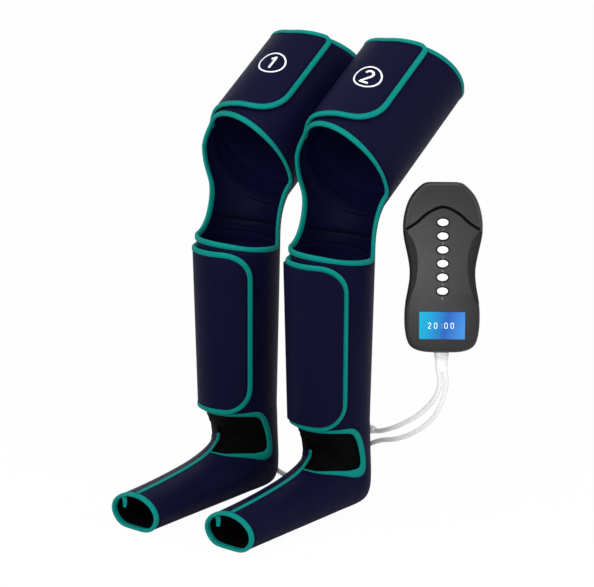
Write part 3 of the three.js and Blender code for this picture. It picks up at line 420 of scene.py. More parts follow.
def sideways(path, closed):
    """The step to one side of a path for one millimetre, mitred at its corners."""
    across, along = scale_at(path)
    before, after = np.roll(path, 1, 0), np.roll(path, -1, 0)
    if not closed:
        before[0], after[-1] = path[0], path[-1]
    flat = [np.stack([turns(q[:, 0] - path[:, 0]) * across, (q[:, 1] - path[:, 1]) * along], 1)
            for q in (before, after)]
    length = [np.maximum(np.linalg.norm(f, axis=1, keepdims=True), 1e-9) for f in flat]
    arrive, leave = -flat[0] / length[0], flat[1] / length[1]
    if not closed:
        arrive[0], leave[-1] = leave[0], arrive[-1]
    total = arrive + leave
    normal = np.stack([total[:, 1], -total[:, 0]], 1)
    normal /= np.maximum(np.linalg.norm(normal, axis=1, keepdims=True), 1e-9)
    miter = 1 / np.maximum(0.6, (normal * np.stack([arrive[:, 1], -arrive[:, 0]], 1)).sum(1))
    return np.stack([normal[:, 0] * miter / across, normal[:, 1] * miter / along], 1)


def band(name, path, closed, profile, material, place, lift=None, wide=None):
    """A band along a path of [angle, station] points. wide scales its width at each point.
    A third number in the points is how far the path stands out there, in mm."""
    path = np.array(path, float)
    out, depth = np.array(profile, float).T
    sides = sideways(path, closed) * (1 if wide is None else wide[:, None])
    angle = path[:, :1] + sides[:, :1] * out
    station = path[:, 1:2] + sides[:, 1:] * out
    swell = path[:, 2:3] if path.shape[1] > 2 else 0
    lifted = depth[None, :] - (lift(path[:, 0])[:, None] if lift else 0) - swell
    points = surface(angle, station, lifted).transpose(1, 0, 2)
    points = np.concatenate([points, points[:1]], 0)
    count, steps = points.shape[:2]
    faces, uvs = grid_faces(count, steps, ring=closed), grid_uvs(points, closed)
    flat = points.reshape(-1, 3)
    if not closed:
        for c, order in ((0, 1), (steps - 1, -1)):
            cap = [r * steps + c for r in range(count - 1)][::order]
            faces.append(cap)
            uvs += [(0, 0)] * len(cap)
    return make(name, flat, faces, material, uvs, place, smooth_angle=75)


def binding(name, path, closed, place, lift=None):
    """An edge tape folded over a cover's edge, with a tongue inside the wall."""
    inner = WALL + BINDING_PROUD
    wide = BINDING_WIDTH
    profile = [(GAP, -0.2), (0.7, -0.75), (1.6, -BINDING_PROUD), (wide * 0.4, -BINDING_PROUD - 0.1),
               (wide - 2.6, -BINDING_PROUD), (wide - 1.2, -0.35), (wide - 0.35, 0.7), (wide, WALL / 2),
               (wide - 0.35, WALL - 0.7), (wide - 1.2, inner - 0.45), (wide - 2.6, inner), (GAP, inner),
               (GAP, WALL - 1), (-BINDING_TONGUE, WALL - 1), (-BINDING_TONGUE, 1), (GAP, 1)]
    return band(name, path, closed, profile, teal, place, lift)


# Materials

def principled(name, **values):
    """A material whose main shader has these values, with _ for the spaces in their names."""
    material = bpy.data.materials.new(name)
    material.use_nodes = True
    shader = material.node_tree.nodes["Principled BSDF"]
    for key, value in values.items():
        shader.inputs[key.replace("_", " ")].default_value = value
    return material


class Nodes:
    """Short calls for adding and joining nodes of one material."""

    def __init__(self, material):
        self.tree = material.node_tree
        self.shader = self.tree.nodes["Principled BSDF"]
        self.coords = self.tree.nodes.new("ShaderNodeTexCoord")

    def link(self, source, target):
        self.tree.links.new(source, target)

    def add(self, kind, inputs=None, **settings):
        node = self.tree.nodes.new(kind)
        for key, value in settings.items():
            setattr(node, key, value)
        for key, value in (inputs or {}).items():
            if isinstance(value, bpy.types.NodeSocket):
                self.link(value, node.inputs[key])
            else:
                node.inputs[key].default_value = value
        return node

    def math(self, operation, a, b=0.0):
        return self.add("ShaderNodeMath", {0: a, 1: b}, operation=operation).outputs[0]

    def mean(self, a, b):
        return self.math("MULTIPLY", self.math("ADD", a, b), 0.5)

    def noise(self, vector, scale, detail=3.0, roughness=0.5):
        inputs = {"Vector": vector, "Scale": scale, "Detail": detail, "Roughness": roughness}
        return self.add("ShaderNodeTexNoise", inputs).outputs["Fac"]

    def wave(self, vector, pitch, direction="X"):
        inputs = {"Vector": vector, "Scale": 0.314159 / pitch}
        return self.add("ShaderNodeTexWave", inputs, bands_direction=direction).outputs["Fac"]

    def ramp(self, factor, stops):
        node = self.add("ShaderNodeValToRGB", {"Fac": factor})
        elements = node.color_ramp.elements
        while len(elements) < len(stops):
            elements.new(0.5)
        for element, (position, color) in zip(elements, stops):
            element.position, element.color = position, (*color, 1)
        return node.outputs["Color"]

    def blend(self, factor, a, b):
        node = self.add("ShaderNodeMix", data_type="RGBA")
        self.put(node.inputs["Factor"], factor)
        self.put(node.inputs[6], a)
        self.put(node.inputs[7], b)
        return node.outputs[2]

    def put(self, socket, value):
        if isinstance(value, bpy.types.NodeSocket):
            self.link(value, socket)
        else:
            socket.default_value = (*value, 1) if isinstance(value, tuple) and len(value) == 3 else value

    def color(self, value):
        self.link(value, self.shader.inputs["Base Color"])

    def bump(self, height, distance, strength=1.0, normal=None):
        inputs = {"Height": height, "Distance": distance, "Strength": strength}
        if normal is not None:
            inputs["Normal"] = normal
        return self.add("ShaderNodeBump", inputs).outputs["Normal"]

    def normal(self, value):
        self.link(value, self.shader.inputs["Normal"])

    def rough(self, factor, low, high):
        inputs = {"Value": factor, "To Min": low, "To Max": high}
        self.link(self.add("ShaderNodeMapRange", inputs).outputs["Result"], self.shader.inputs["Roughness"])


def fabric(name, dark, light, pitch, rough=(0.38, 0.47), sheen=0.01, folds=0.5, gloss=0.07):
    """A woven fabric: crossed threads, soft folds and a little variation of colour."""
    material = principled(name, Sheen_Weight=sheen, Sheen_Roughness=0.4, Sheen_Tint=(0.3, 0.3, 0.7, 1),
                          IOR=1.3, Specular_IOR_Level=gloss)
    n = Nodes(material)
    uv, place = n.coords.outputs["UV"], n.coords.outputs["Object"]
    warp, weft = n.wave(uv, pitch, "X"), n.wave(uv, pitch, "Y")
    weave = n.math("MULTIPLY", warp, weft)
    cloud = n.noise(place, 14.0, 4.0)
    grain = n.noise(place, 900.0, 2.0)
    n.color(n.blend(n.mean(cloud, grain), dark, light))
    n.rough(cloud, *rough)
    creases = n.bump(n.noise(place, 26.0, 2.0, 0.4), 0.004, folds)
    threads = n.bump(n.math("ADD", weave, n.math("MULTIPLY", grain, 0.4)), 0.00025, 0.5, creases)
    n.normal(threads)
    return material


def tape(name, dark, light):
    """A folded edge tape: fine ribs across it, and a row of stitches."""
    material = principled(name, Sheen_Weight=0.01, Sheen_Roughness=0.5, IOR=1.35, Specular_IOR_Level=0.08)
    n = Nodes(material)
    uv, place = n.coords.outputs["UV"], n.coords.outputs["Object"]
    ribs = n.wave(uv, 0.9, "X")
    cloud, grain = n.noise(place, 30.0, 3.0), n.noise(place, 1200.0, 2.0)
    split = n.add("ShaderNodeSeparateXYZ", {"Vector": uv})
    u, v = split.outputs["X"], split.outputs["Y"]
    dash = n.math("LESS_THAN", n.math("PINGPONG", u, 1.6), 1.05)
    row = n.math("LESS_THAN", n.math("ABSOLUTE", n.math("SUBTRACT", v, 2.1)), 0.35)
    stitch = n.math("MULTIPLY", dash, row)
    base = n.blend(n.mean(cloud, grain), dark, light)
    n.color(n.blend(n.math("MULTIPLY", stitch, 0.45), base, tuple(0.35 * c for c in dark)))
    n.rough(cloud, 0.5, 0.68)
    soft = n.bump(n.noise(place, 90.0, 2.0), 0.0012, 0.5)
    fine = n.bump(n.math("SUBTRACT", ribs, n.math("MULTIPLY", row, 1.4)), 0.00022, 0.6, soft)
    n.normal(fine)
    return material


def plastic(name, dark, light, rough, grain=0.00006, scale=2600.0, crown=None, **values):
    """Moulded plastic: a fine spark-eroded grain, and a faint crown round a point of a large face."""
    material = principled(name, **values)
    n = Nodes(material)
    place = n.coords.outputs["Object"]
    cloud = n.noise(place, 22.0, 3.0)
    n.color(n.blend(cloud, dark, light))
    n.rough(n.noise(place, 160.0, 3.0), *rough)
    base = None
    if crown is not None:
        reach = n.add("ShaderNodeVectorMath", {0: place, 1: crown}, operation="DISTANCE").outputs["Value"]
        base = n.bump(n.math("MULTIPLY", n.math("MULTIPLY", reach, reach), -CROWN), 1.0)
    n.normal(n.bump(n.noise(place, scale, 2.0), grain, 0.7, base))
    return material


navy = fabric("navy_fabric", (0.0028, 0.0025, 0.0175), (0.0044, 0.0040, 0.0240), 0.9)
# The lining's colour is a little lighter than the navy outside: painted light, set against the shade inside
# the sleeves.
lining = fabric("lining", (0.0034, 0.0030, 0.0215), (0.0052, 0.0046, 0.0300), 0.7, rough=(0.6, 0.75),
                sheen=0.0, gloss=0.03)
teal = tape("teal_tape", (0.0010, 0.180, 0.157), (0.0020, 0.240, 0.209))
toe_lining = fabric("toe_lining", (0.0016, 0.0016, 0.0019), (0.0034, 0.0034, 0.0038), 0.7,
                    rough=(0.6, 0.75), gloss=0.03)
hook = fabric("hook_tape", (0.003, 0.003, 0.004), (0.009, 0.009, 0.010), 1.3, rough=(0.8, 0.95),
              folds=0.1, gloss=0.1)
case = plastic("case_plastic", (0.016, 0.016, 0.0165), (0.023, 0.023, 0.0235), (0.27, 0.36),
               Specular_IOR_Level=0.22, crown=tuple(on_controller([(0, -FRONT_DEPTH, 140)])[0] / 1000))
shadow = plastic("seam_shadow", (0.0012, 0.0012, 0.0013), (0.0024, 0.0024, 0.0025), (0.7, 0.9),
                 Specular_IOR_Level=0.03)
grip = plastic("grip_rubber", (0.004, 0.004, 0.0045), (0.008, 0.008, 0.0085), (0.5, 0.65), grain=0.0002,
               scale=1500.0, Specular_IOR_Level=0.2)
white = plastic("button_plastic", (0.78, 0.79, 0.80), (0.86, 0.86, 0.86), (0.18, 0.28), Coat_Weight=0.4,
                Coat_Roughness=0.08)
valve = plastic("valve_plastic", (0.012, 0.014, 0.018), (0.022, 0.024, 0.03), (0.35, 0.5))
print_white = plastic("print_ink", (0.74, 0.74, 0.76), (0.84, 0.84, 0.85), (0.45, 0.6), grain=0.0001,
                      scale=900.0)
print_grey = plastic("print_grey", (0.20, 0.20, 0.21), (0.26, 0.26, 0.27), (0.5, 0.6))
metal = plastic("pump_metal", (0.42, 0.43, 0.45), (0.55, 0.56, 0.58), (0.25, 0.45), Metallic=0.85)
board = plastic("circuit_board", (0.010, 0.075, 0.028), (0.016, 0.11, 0.04), (0.3, 0.5))


def stretch_knit():
    material = principled("stretch_knit", IOR=1.3, Specular_IOR_Level=0.08)
    n = Nodes(material)
    uv, place = n.coords.outputs["UV"], n.coords.outputs["Object"]
    ribs, loops = n.wave(uv, 2.4, "X"), n.wave(uv, 1.2, "Y")
    n.color(n.blend(n.noise(place, 40.0), (0.0006, 0.0006, 0.0007), (0.0018, 0.0018, 0.0020)))
    n.rough(ribs, 0.6, 0.8)
    folds = n.bump(n.noise(place, 35.0, 2.0), 0.003, 0.6)
    n.normal(n.bump(n.math("ADD", ribs, n.math("MULTIPLY", loops, 0.3)), 0.0006, 0.8, folds))
    return material


def vinyl():
    values = {"Transmission_Weight": 0.05, "IOR": 1.4, "Coat_Weight": 0.3, "Coat_Roughness": 0.15}
    material = principled("hose_vinyl", **values)
    n = Nodes(material)
    place = n.coords.outputs["Object"]
    cloud = n.noise(place, 35.0, 3.0)
    n.color(n.blend(cloud, (0.82, 0.83, 0.84), (0.90, 0.90, 0.91)))
    n.rough(n.noise(place, 220.0), 0.25, 0.36)
    n.normal(n.bump(n.noise(place, 60.0, 1.0), 0.0003, 0.25))
    return material


def display():
    material = principled("display", Roughness=0.35, Coat_Weight=0.04, Coat_Roughness=0.03,
                          Emission_Strength=0.15, Specular_IOR_Level=0.06)
    n = Nodes(material)
    split = n.add("ShaderNodeSeparateXYZ", {"Vector": n.coords.outputs["UV"]})
    u = n.math("MULTIPLY", split.outputs["X"], 1 / SCREEN_WIDTH)
    v = n.math("MULTIPLY", split.outputs["Y"], 1 / SCREEN_HEIGHT)
    slanted = n.math("SUBTRACT", n.math("ADD", u, 0.1), n.math("MULTIPLY", v, 0.14))
    glow = n.ramp(slanted, [(0.0, (0.003, 0.34, 0.50)), (0.22, (0.005, 0.28, 0.50)),
                            (0.62, (0.018, 0.090, 0.36)), (1.0, (0.045, 0.215, 0.56))])
    spots = n.noise(n.coords.outputs["Object"], 420.0, 2.0)
    tinted = n.blend(n.math("MULTIPLY", spots, 0.12), glow, (0.02, 0.10, 0.30))
    n.color(tinted)
    n.link(tinted, n.shader.inputs["Emission Color"])
    return material


knit = stretch_knit()
hose_vinyl = vinyl()
screen_print = display()


# Hoses: the routes of the part's source

def hose_route(side, sleeve, nozzle, points):
    x, z = side * HOSE_PITCH / 2, -GLAND_DROP - GAP
    start = on_controller([(x, 0, z), (x, 0, z - 14)])
    nozzle = np.array(nozzle, float)
    place = np.array([*PLACES[sleeve], 0.0])
    end = place + np.array(ELBOW) + nozzle * (NOZZLE + GAP)
    moved = np.array(points, float) + np.array([*middle, 0])
    route = catmull(np.vstack([start, moved, [end + nozzle * 10], [end]]), centripetal=True)
    return route(np.linspace(0, 1, 220))


ROUTES = {
    "hose_left": (-1, "left", (1, 0, 0), [
        (233, 77, 212), (225, 79.5, 187), (199, 82, 156.5), (155, 84.5, 125), (124, 86.5, 110),
    ]),
    "hose_right": (1, "right", (0, 0, -1), [
        (241, 82, 211), (235, 84.5, 187), (216, 87, 150), (182, 89.5, 119.5), (144, 93, 99), (107, 96, 87),
        (80, 98, 71), (56, 97, 45), (32, 91, 20), (6, 82, 7), (-22, 72, 4.6), (-48, 62, 6.5), (-68, 57, 17),
        (-78, 57.5, 36), (-80, 60, 56),
    ]),
}
for name, route in ROUTES.items():
    line = hose_route(*route) / 1000
    curve = bpy.data.curves.new(name + "_tube", "CURVE")
    curve.dimensions = "3D"
    curve.bevel_depth = HOSE_RADIUS / 1000
    curve.bevel_resolution = 5
    curve.use_fill_caps = True
    spline = curve.splines.new("POLY")
    spline.points.add(len(line) - 1)
    spline.points.foreach_set("co", np.concatenate([line, np.ones((len(line), 1))], 1).ravel())
    spline.use_smooth = True
    curve.materials.append(hose_vinyl)
    hose = bpy.data.objects.new(name + "_tube", curve)
    bpy.context.scene.collection.objects.link(hose)
    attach(hose, "base")
    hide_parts(name)


# The sleeves

def fine(low, high, step=3.0):
    """Even angles from low to high, about a step apart."""
    return np.linspace(low, high, max(2, round(abs(high - low) / step) + 1))


WRAP_ANGLES = fine(UNDERLAP, FLAP_ROOT + 359.6)


def lift(angle):
    """How far a flap stands out over the cover that it laps, in mm."""
    return (WALL + HOOK_THICKNESS + 2 * GAP) * smooth(FLAP_ROOT + 2, UNDERLAP - 2, angle)


def thigh_top(angle):
    side = np.clip(turns(angle), 0, 120)
    bulge = RIM_BULGE * np.sin(1.5 * side * RAD)
    return on_thigh(THIGH_START + THIGH_LENGTH - RIM_SLANT * np.cos(np.asarray(angle) * RAD) + bulge)


def rim_fabric(angle):
    return thigh_top(angle) - BINDING_WIDTH / THIGH_LENGTH


def thigh_low(angle):
    side = turns(angle)
    rise = np.where(side < KNEE_RIGHT, smooth(KNEE_RIGHT, KNEE_LEFT, side), 0)
    fade = smooth(-110, KNEE_LEFT, side)
    return on_thigh(THIGH_START + KNEE_LEFT_LIFT * np.where(side < KNEE_LEFT, fade, rise))


def calf_top(angle):
    """The calf wrap's top edge: highest at KNEE_LEFT and lowest near KNEE_RIGHT."""
    side = turns(angle)
    front = mix(6, -10, smooth(-10, 115, side))
    rear = mix(-10, 6, smooth(115, 280, np.where(side < -80, side + 360, side)))
    return 2 + np.where((side >= -80) & (side <= 115), front, rear) / CALF_LENGTH


def knee_place(across, share):
    """The angle and station at a share of the knee panel's width and of its height."""
    right = KNEE_RIGHT - 3 * np.sin(math.pi * share)
    left = mix(KNEE_LOW_LEFT, KNEE_LEFT, share) - 34 * np.sqrt(np.clip(np.sin(math.pi * share), 0, 1))
    angle = mix(right, left + 360, across)
    return angle, mix(calf_top(angle), thigh_low(angle) - GAP / THIGH_LENGTH, share)


def rounded(path, passes, closed=True):
    """Softens the corners of a path of [angle, station] points."""
    path = np.array(path, float)
    for _ in range(passes):
        eased = (np.roll(path, 1, 0) + 2 * path + np.roll(path, -1, 0)) / 4
        if not closed:
            eased[0], eased[-1] = path[0], path[-1]
        path = eased
    return path


def knee_path():
    low = [(a, float(calf_top(a)), 0) for a in fine(KNEE_LOW_LEFT, KNEE_RIGHT)]
    shares = np.linspace(0, 1, 41)[1:-1]
    right = [(*knee_place(0, s), 0) for s in shares]
    left = [(knee_place(1, s)[0] - 360, knee_place(1, s)[1], knee_swell(1, s)) for s in shares[::-1]]
    top = [(a, thigh_low(a), 0) for a in fine(KNEE_LEFT, KNEE_RIGHT)[::-1]]
    return rounded([*low, *right, *top, *left][::-1], 7)


def flap_rows(height, corner, edge, radius, top_corner):
    """A flap's free edge from its foot up, as [share of its height, angle], with rounded corners."""
    corner_angle = corner / radius / RAD
    quarter = np.linspace(0, 90, 13) * RAD
    low = [(corner * (1 - math.cos(a)) / height, edge - corner_angle * (1 - math.sin(a))) for a in quarter]
    high = [(1 - share, angle) for share, angle in low[::-1]] if top_corner else [(1.0, edge)]
    straight = [(share, edge) for share in np.linspace(low[-1][0], high[0][0], 26)[1:-1]]
    return low + straight + high


def flap_grid(rows, edge, station_at):
    columns = fine(FLAP_ROOT, edge, 2.5)
    shares, edges = np.array(rows).T
    angles = np.where(columns > 0, columns * edges[:, None] / edge, columns)
    return angles, station_at(angles, shares[:, None] + 0 * angles)


def flap_path(rows, edge, station_at):
    angles, stations = flap_grid(rows, edge, station_at)
    points = [*zip(angles[0], stations[0]), *zip(angles[1:-1, -1], stations[1:-1, -1]),
              *zip(angles[-1, ::-1], stations[-1, ::-1])]
    return rounded(points, 2, closed=False)


def foot_reach(angle):
    side = np.abs(turns(angle))
    rise = np.where(turns(angle) < 0, 0, smooth(10, 80, side) * smooth(160, ANKLE_SIDE, side))
    return INSTEP_LOW + INSTEP_RISE * rise


def ankle_top(angle):
    return mix(WING_TOP, 1, smooth(300, 270, angle))


calf_rows = flap_rows(CALF_FLAP_HIGH - CALF_FLAP_LOW, CALF_FLAP_CORNER, CALF_FLAP_EDGE, CALF_HALF_WIDTH, True)
thigh_rows = flap_rows(THIGH_LENGTH + THIGH_START - RIM_SLANT - THIGH_FLAP_BOTTOM, THIGH_FLAP_CORNER,
                       THIGH_FLAP_EDGE, THIGH_HALF_DEPTH, False)


def calf_flap_station(angle, share):
    return on_calf(mix(CALF_FLAP_LOW, CALF_FLAP_HIGH, share))


def thigh_flap_station(angle, share):
    drop = 6 * smooth(25, -15, angle) + 10 * smooth(-25, -58, angle) - 3 * smooth(25, THIGH_FLAP_EDGE, angle)
    return mix(on_thigh(THIGH_FLAP_BOTTOM - drop), rim_fabric(angle), share)


def on_body(piece, body, nodes):
    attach(piece, body)
    if nodes:
        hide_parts(*nodes)
    return piece


def pad(name, angles, stations, outer, inner, material, place):
    """A closed pad between two depths over a grid, with rounded rims."""
    rows, columns = angles.shape
    steps = [np.minimum(np.arange(n), np.arange(n)[::-1]) / 2 for n in (rows, columns)]
    rim = np.sqrt(np.minimum(1, np.minimum.outer(*steps)))
    half = (outer + inner) / 2
    faces_out = surface(angles, stations, mix(half, outer, rim))
    faces_in = surface(angles, stations, mix(half, inner, rim))
    count = rows * columns
    points = np.concatenate([faces_out.reshape(-1, 3), faces_in.reshape(-1, 3)])
    faces = grid_faces(rows, columns) + grid_faces(rows, columns, start=count)
    return make(name, points, faces, material, grid_uvs(faces_out) + grid_uvs(faces_in), place)


def stack(rows):
    """A closed body from rings of equal length, one behind the other."""
    count = len(rows[0])
    faces = grid_faces(len(rows), count, ring=True)
    faces += [tuple(range(count)), tuple(range((len(rows) - 1) * count, len(rows) * count))]
    return np.concatenate(rows), faces


def air_pad(name, body, angles, low, high, cells, place, material=None):
    """A bag of air cells inside a sleeve, swollen between its seams."""
    shares = np.linspace(0, 1, 12 * cells + 1)[:, None]
    stations = mix(low, high, shares) + 0 * angles
    swell = np.abs(np.sin(math.pi * cells * shares)) ** 0.7 + 0 * angles
    outer = WALL + PAD_CLEARANCE
    inner = outer + PAD_EDGE + PAD_SWELL * swell
    piece = pad(name + "_pad", angles + 0 * stations, stations, outer, inner, material or lining, place)
    on_body(piece, body, [name + "_air_cells"])


def turned(profile, direction, origin, sides=40):
    """A round bar along a direction, from [radius, distance] pairs: its points and faces."""
    direction = Vector(direction).normalized()
    first = direction.orthogonal().normalized()
    second = direction.cross(first)
    angles = circle(sides)[:, None]
    spokes = np.cos(angles) * np.array(first) + np.sin(angles) * np.array(second)
    return stack([np.array(origin) + np.array(direction) * along + radius * spokes
                  for radius, along in profile])


def joined(*bodies):
    """Several bodies of points and faces as one."""
    points, faces, start = [], [], 0
    for body_points, body_faces in bodies:
        points.append(body_points)
        faces += [tuple(start + i for i in face) for face in body_faces]
        start += len(body_points)
    return np.concatenate(points), faces


def ankle_bow(share):
    """How far the upright edge of the ankle opening lies behind ANKLE_SIDE, in degrees."""
    return -25 + 86 * share - 72 * share**2


def seam_strip(name, body, angles, stations, place):
    """A strip of lining behind a seam. Without a body, the caller says what it follows."""
    points = surface(angles, stations, WALL + STRIP_CLEARANCE)
    piece = thicken(grid_piece(name, points, lining, place=place), STRIP_THICKNESS, outwards=0)
    if body:
        on_body(piece, body, [])
    return piece


def hinge_seam(name, body, station_at, place):
    """A thin rolled seam that lies along a flap's root."""
    path = [(FLAP_ROOT, float(station_at(FLAP_ROOT, share))) for share in np.linspace(0.005, 0.995, 60)]
    profile = [(HINGE_SEAM * math.cos(a), HINGE_SEAM * math.sin(a)) for a in circle(12)]
    on_body(band(name, path, False, profile, navy, place), body, [])


def make_foot(side, place):
    name = side + "_"
    angles = fine(0, 360)[:-1]
    foot_share, ankle_share = np.linspace(0, 1, 49)[:, None], np.linspace(0, 1, 33)[:, None]
    foot = surface(angles, foot_reach(angles) * foot_share, 0)
    back = fine(ANKLE_SIDE, 360 + SEAM_ANGLE)
    fade = np.clip(1 - (back - ANKLE_SIDE) / 60, 0, 1)
    low = foot_reach(back + ankle_bow(0) * fade)
    ankle = surface(back + ankle_bow(ankle_share) * fade, mix(low, ankle_top(back), ankle_share), 0)
    points = np.concatenate([foot.reshape(-1, 3), ankle.reshape(-1, 3)])
    faces = grid_faces(*foot.shape[:2], ring=True)
    faces += grid_faces(*ankle.shape[:2], start=foot.shape[0] * foot.shape[1])
    uvs = grid_uvs(foot, True) + grid_uvs(ankle)
    piece = thicken(make(name + "foot_cover", points, faces, navy, uvs, place), WALL, inner=toe_lining)
    on_body(piece, "base", [name + "foot_wrap", name + "ankle_wrap"])

    toe = [(a, 0.0) for a in fine(0, 360)[:-1]]
    on_body(binding(name + "toe_tape", toe, True, place), "base", [name + "toe_binding"])

    curl, ring = [], circle(16)
    for t in np.linspace(0, 1, 15):
        wide, thick = mix(6.5, 3.2, t**0.7), mix(2.2, 1.6, t)
        centre = surface(TOE_CURL_ANGLE, -0.004 + 0.006 * math.sin(2.6 * t), 4.5) - (0, 0, 17 * t)
        curl.append(centre + np.stack([wide * np.cos(ring), thick * np.sin(ring), 0 * ring], 1))
    piece = make(name + "toe_curl", *stack(curl), teal, place=place, smooth_angle=70)
    on_body(piece, "base", [])

    half = 3.5
    tape_profile = [(-half, -0.1), (-half, -0.9), (-half + 0.8, -1.35), (0, -1.5),
                    (half - 0.8, -1.35), (half, -0.9), (half, -0.1)]
    seam = [(SEAM_ANGLE + 17 * (1 - s / WING_TOP) ** 1.3, s) for s in np.linspace(0.0012, WING_TOP, 90)]
    piece = band(name + "foot_seam_tape", seam, False, tape_profile, teal, place)
    on_body(piece, "base", [name + "foot_seam_binding"])

    corner = ANKLE_SIDE + ankle_bow(0)
    lower = [(a, float(foot_reach(a)), mix(0.3, 0.95, smooth(5, 55, a))) for a in fine(-7, corner)]
    shares = np.linspace(0, 1, 24)[1:-1]
    upright = [(ANKLE_SIDE + ankle_bow(t), mix(float(foot_reach(corner)), 1, t), 1.1) for t in shares]
    upper = [(a, 1.0, mix(0.62, 1, smooth(50, 80, a))) for a in fine(-75, ANKLE_SIDE + ankle_bow(1))[::-1]]
    profile = [(2.4, -0.1), (2.0, -0.9), (0, -1.1), (-4, -1.1), (-6, -0.8), (-7.4, 0), (-8, 1.2),
               (-7.6, 2.2), (2.4, 2.2)]
    path = rounded([*lower, *upright, *upper], 14, closed=False)
    piece = band(name + "ankle_tape", path[:, :2], False, profile, teal, place, wide=path[:, 2])
    on_body(piece, "base", [name + "ankle_binding"])

    wing, open_side = fine(-75, SEAM_ANGLE), fine(SEAM_ANGLE + 1, ANKLE_SIDE + 7)
    columns = np.concatenate([wing, open_side])
    low = np.concatenate([ankle_top(wing + 360), foot_reach(open_side)]) + 0.004
    share = np.linspace(0, 1, 41)[:, None]
    ripple = 0.4 * np.sin(share * 30 + columns / 9)
    points = surface(columns, mix(low, 0.998, share), GUSSET_DEPTH + 0.6 + ripple)
    piece = thicken(grid_piece(name + "ankle_knit", points, knit, place=place), 2)
    on_body(piece, "base", [name + "ankle_gusset"])

    air_pad(name + "foot", "base", fine(60, 300, 5), 0.08, 0.39, 2, place, toe_lining)


def make_wrap(name, body, low, high, place):
    """The cover of a sleeve's tube, from the underlap round to the flap's root."""
    stations = mix(low, high, np.linspace(0, 1, 41)[:, None])
    piece = cover(name + "_cover", WRAP_ANGLES + 0 * stations, stations, 0, place, lining)
    on_body(piece, body, [name + "_wrap"])


def make_flap(name, root_body, rows, edge, station_at, strip, hook_area, place):
    """A flap with its tape and hook tape, and the seam and the strip at its root. strip is two shares
    of its height and a function of its stations, and hook_area is angles and two stations."""
    body = name + "_opening"
    angles, stations = flap_grid(rows, edge, station_at)
    piece = cover(name + "_flap_cover", angles, stations, -lift(angles), place)
    on_body(piece, body, [name + "_flap"])

    low, high, strip_at = strip
    root = fine(FLAP_ROOT - 6, FLAP_ROOT + 14, 2)
    strip_angles, shares = np.meshgrid(root, np.linspace(low, high, 40))
    hinge_seam(name + "_hinge_seam", root_body, station_at, place)
    seam_strip(name + "_hinge_strip", root_body, strip_angles, strip_at(strip_angles, shares), place)

    piece = binding(name + "_flap_tape", flap_path(rows, edge, station_at), False, place, lift)
    on_body(piece, body, [name + "_flap_binding"])

    angles, low, high = hook_area
    stations = np.linspace(low, high, 20)[:, None] + 0 * angles
    points = surface(angles, stations, -HOOK_THICKNESS - GAP)
    piece = thicken(grid_piece(name + "_hook_tape", points, hook, place=place), HOOK_THICKNESS)
    on_body(piece, body, [name + "_hook_strip"])


def make_calf(side, place):
    name = side + "_calf"
    make_wrap(name, "base", 1 + GAP / CALF_LENGTH, calf_top(WRAP_ANGLES), place)
    strip = (0.01, 0.99, calf_flap_station)
    hook_area = (fine(15, 45), on_calf(CALF_FLAP_LOW + 44), on_calf(CALF_FLAP_HIGH - 44))
    make_flap(name, "base", calf_rows, CALF_FLAP_EDGE, calf_flap_station, strip, hook_area, place)
    air_pad(name, "base", fine(-15, 285, 5), 1.06, 1.94, 3, place)


def thigh_strip_station(angle, share):
    return mix(thigh_low(angle) + 2 / THIGH_LENGTH, rim_fabric(angle), share)


def make_thigh(side, place):
    name = side + "_thigh"
    make_wrap(name, name, thigh_low(WRAP_ANGLES) + GAP / THIGH_LENGTH, rim_fabric(WRAP_ANGLES), place)
    rim = [(a, float(rim_fabric(a))) for a in WRAP_ANGLES[::-1]]
    piece = binding(name + "_rim_tape", rim, False, place)
    on_body(piece, name, [name + "_rim_binding"])

    front_top = THIGH_START + THIGH_LENGTH - RIM_SLANT
    pad_low, pad_high = on_thigh(THIGH_START + KNEE_LEFT_LIFT + 12), on_thigh(front_top - 16)
    air_pad(name, name, fine(-15, 285, 5), pad_low, pad_high, 2, place)
    strip = (0, 0.995, thigh_strip_station)
    hook_area = (fine(0, 30), on_thigh(THIGH_FLAP_BOTTOM + 46), on_thigh(front_top - 26))
    make_flap(name, name, thigh_rows, THIGH_FLAP_EDGE, thigh_flap_station, strip, hook_area, place)


def knee_swell(across, share):
    """How far the panel's upper left corner stands out, in mm."""
    return KNEE_SWELL * smooth(0.72, 1, across) * smooth(0.45, 0.8, share) * smooth(1.04, 0.92, share)


def crease_share(across):
    """Where the fold behind the knee runs, as a share of the panel's height."""
    return 0.096 + 0.27 * (across - 0.57) ** 2


def make_knee(side, place):
    name = side + "_"
    across, share = np.meshgrid(np.linspace(-0.022, 1.022, 77), np.linspace(0, 1, 97))
    angles, stations = knee_place(across, share)
    stations = stations + GAP / CALF_LENGTH * (1 - share)
    fade = smooth(0.09, 0.22, across) * smooth(1, 0.9, across)
    crease = np.exp(-(((share - crease_share(across)) / 0.02) ** 2)) * fade
    panel = cover(name + "knee_cover", angles, stations, -1.8 * crease - knee_swell(across, share), place)
    tape_piece = binding(name + "knee_tape", knee_path(), True, place)
    # A near-black strip along the knee panel's crease: painted shade for the fold.
    across = np.linspace(0.07, 0.93, 90)[None, :]
    angles, stations = knee_place(across, crease_share(across))
    offsets = np.array([-1.7, -0.6, 0.6, 1.7])[:, None] / CALF_LENGTH
    points = surface(angles + 0 * offsets, stations + offsets, WALL - 1.2)
    fold_shade_strip = thicken(grid_piece(name + "knee_fold_painted_shade", points, shadow, place=place), 0.6)
    strip_angles, widths = np.meshgrid(fine(KNEE_RIGHT + 2, KNEE_LEFT + 358, 2), np.linspace(-7, 7, 5))
    strip_stations = thigh_low(strip_angles) + widths / THIGH_LENGTH
    strip = seam_strip(name + "knee_seam_strip", None, strip_angles, strip_stations, place)
    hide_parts(name + "knee_panel")
    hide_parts(name + "knee_opening_binding")
    for piece in (panel, tape_piece, fold_shade_strip, strip):
        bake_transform(piece)


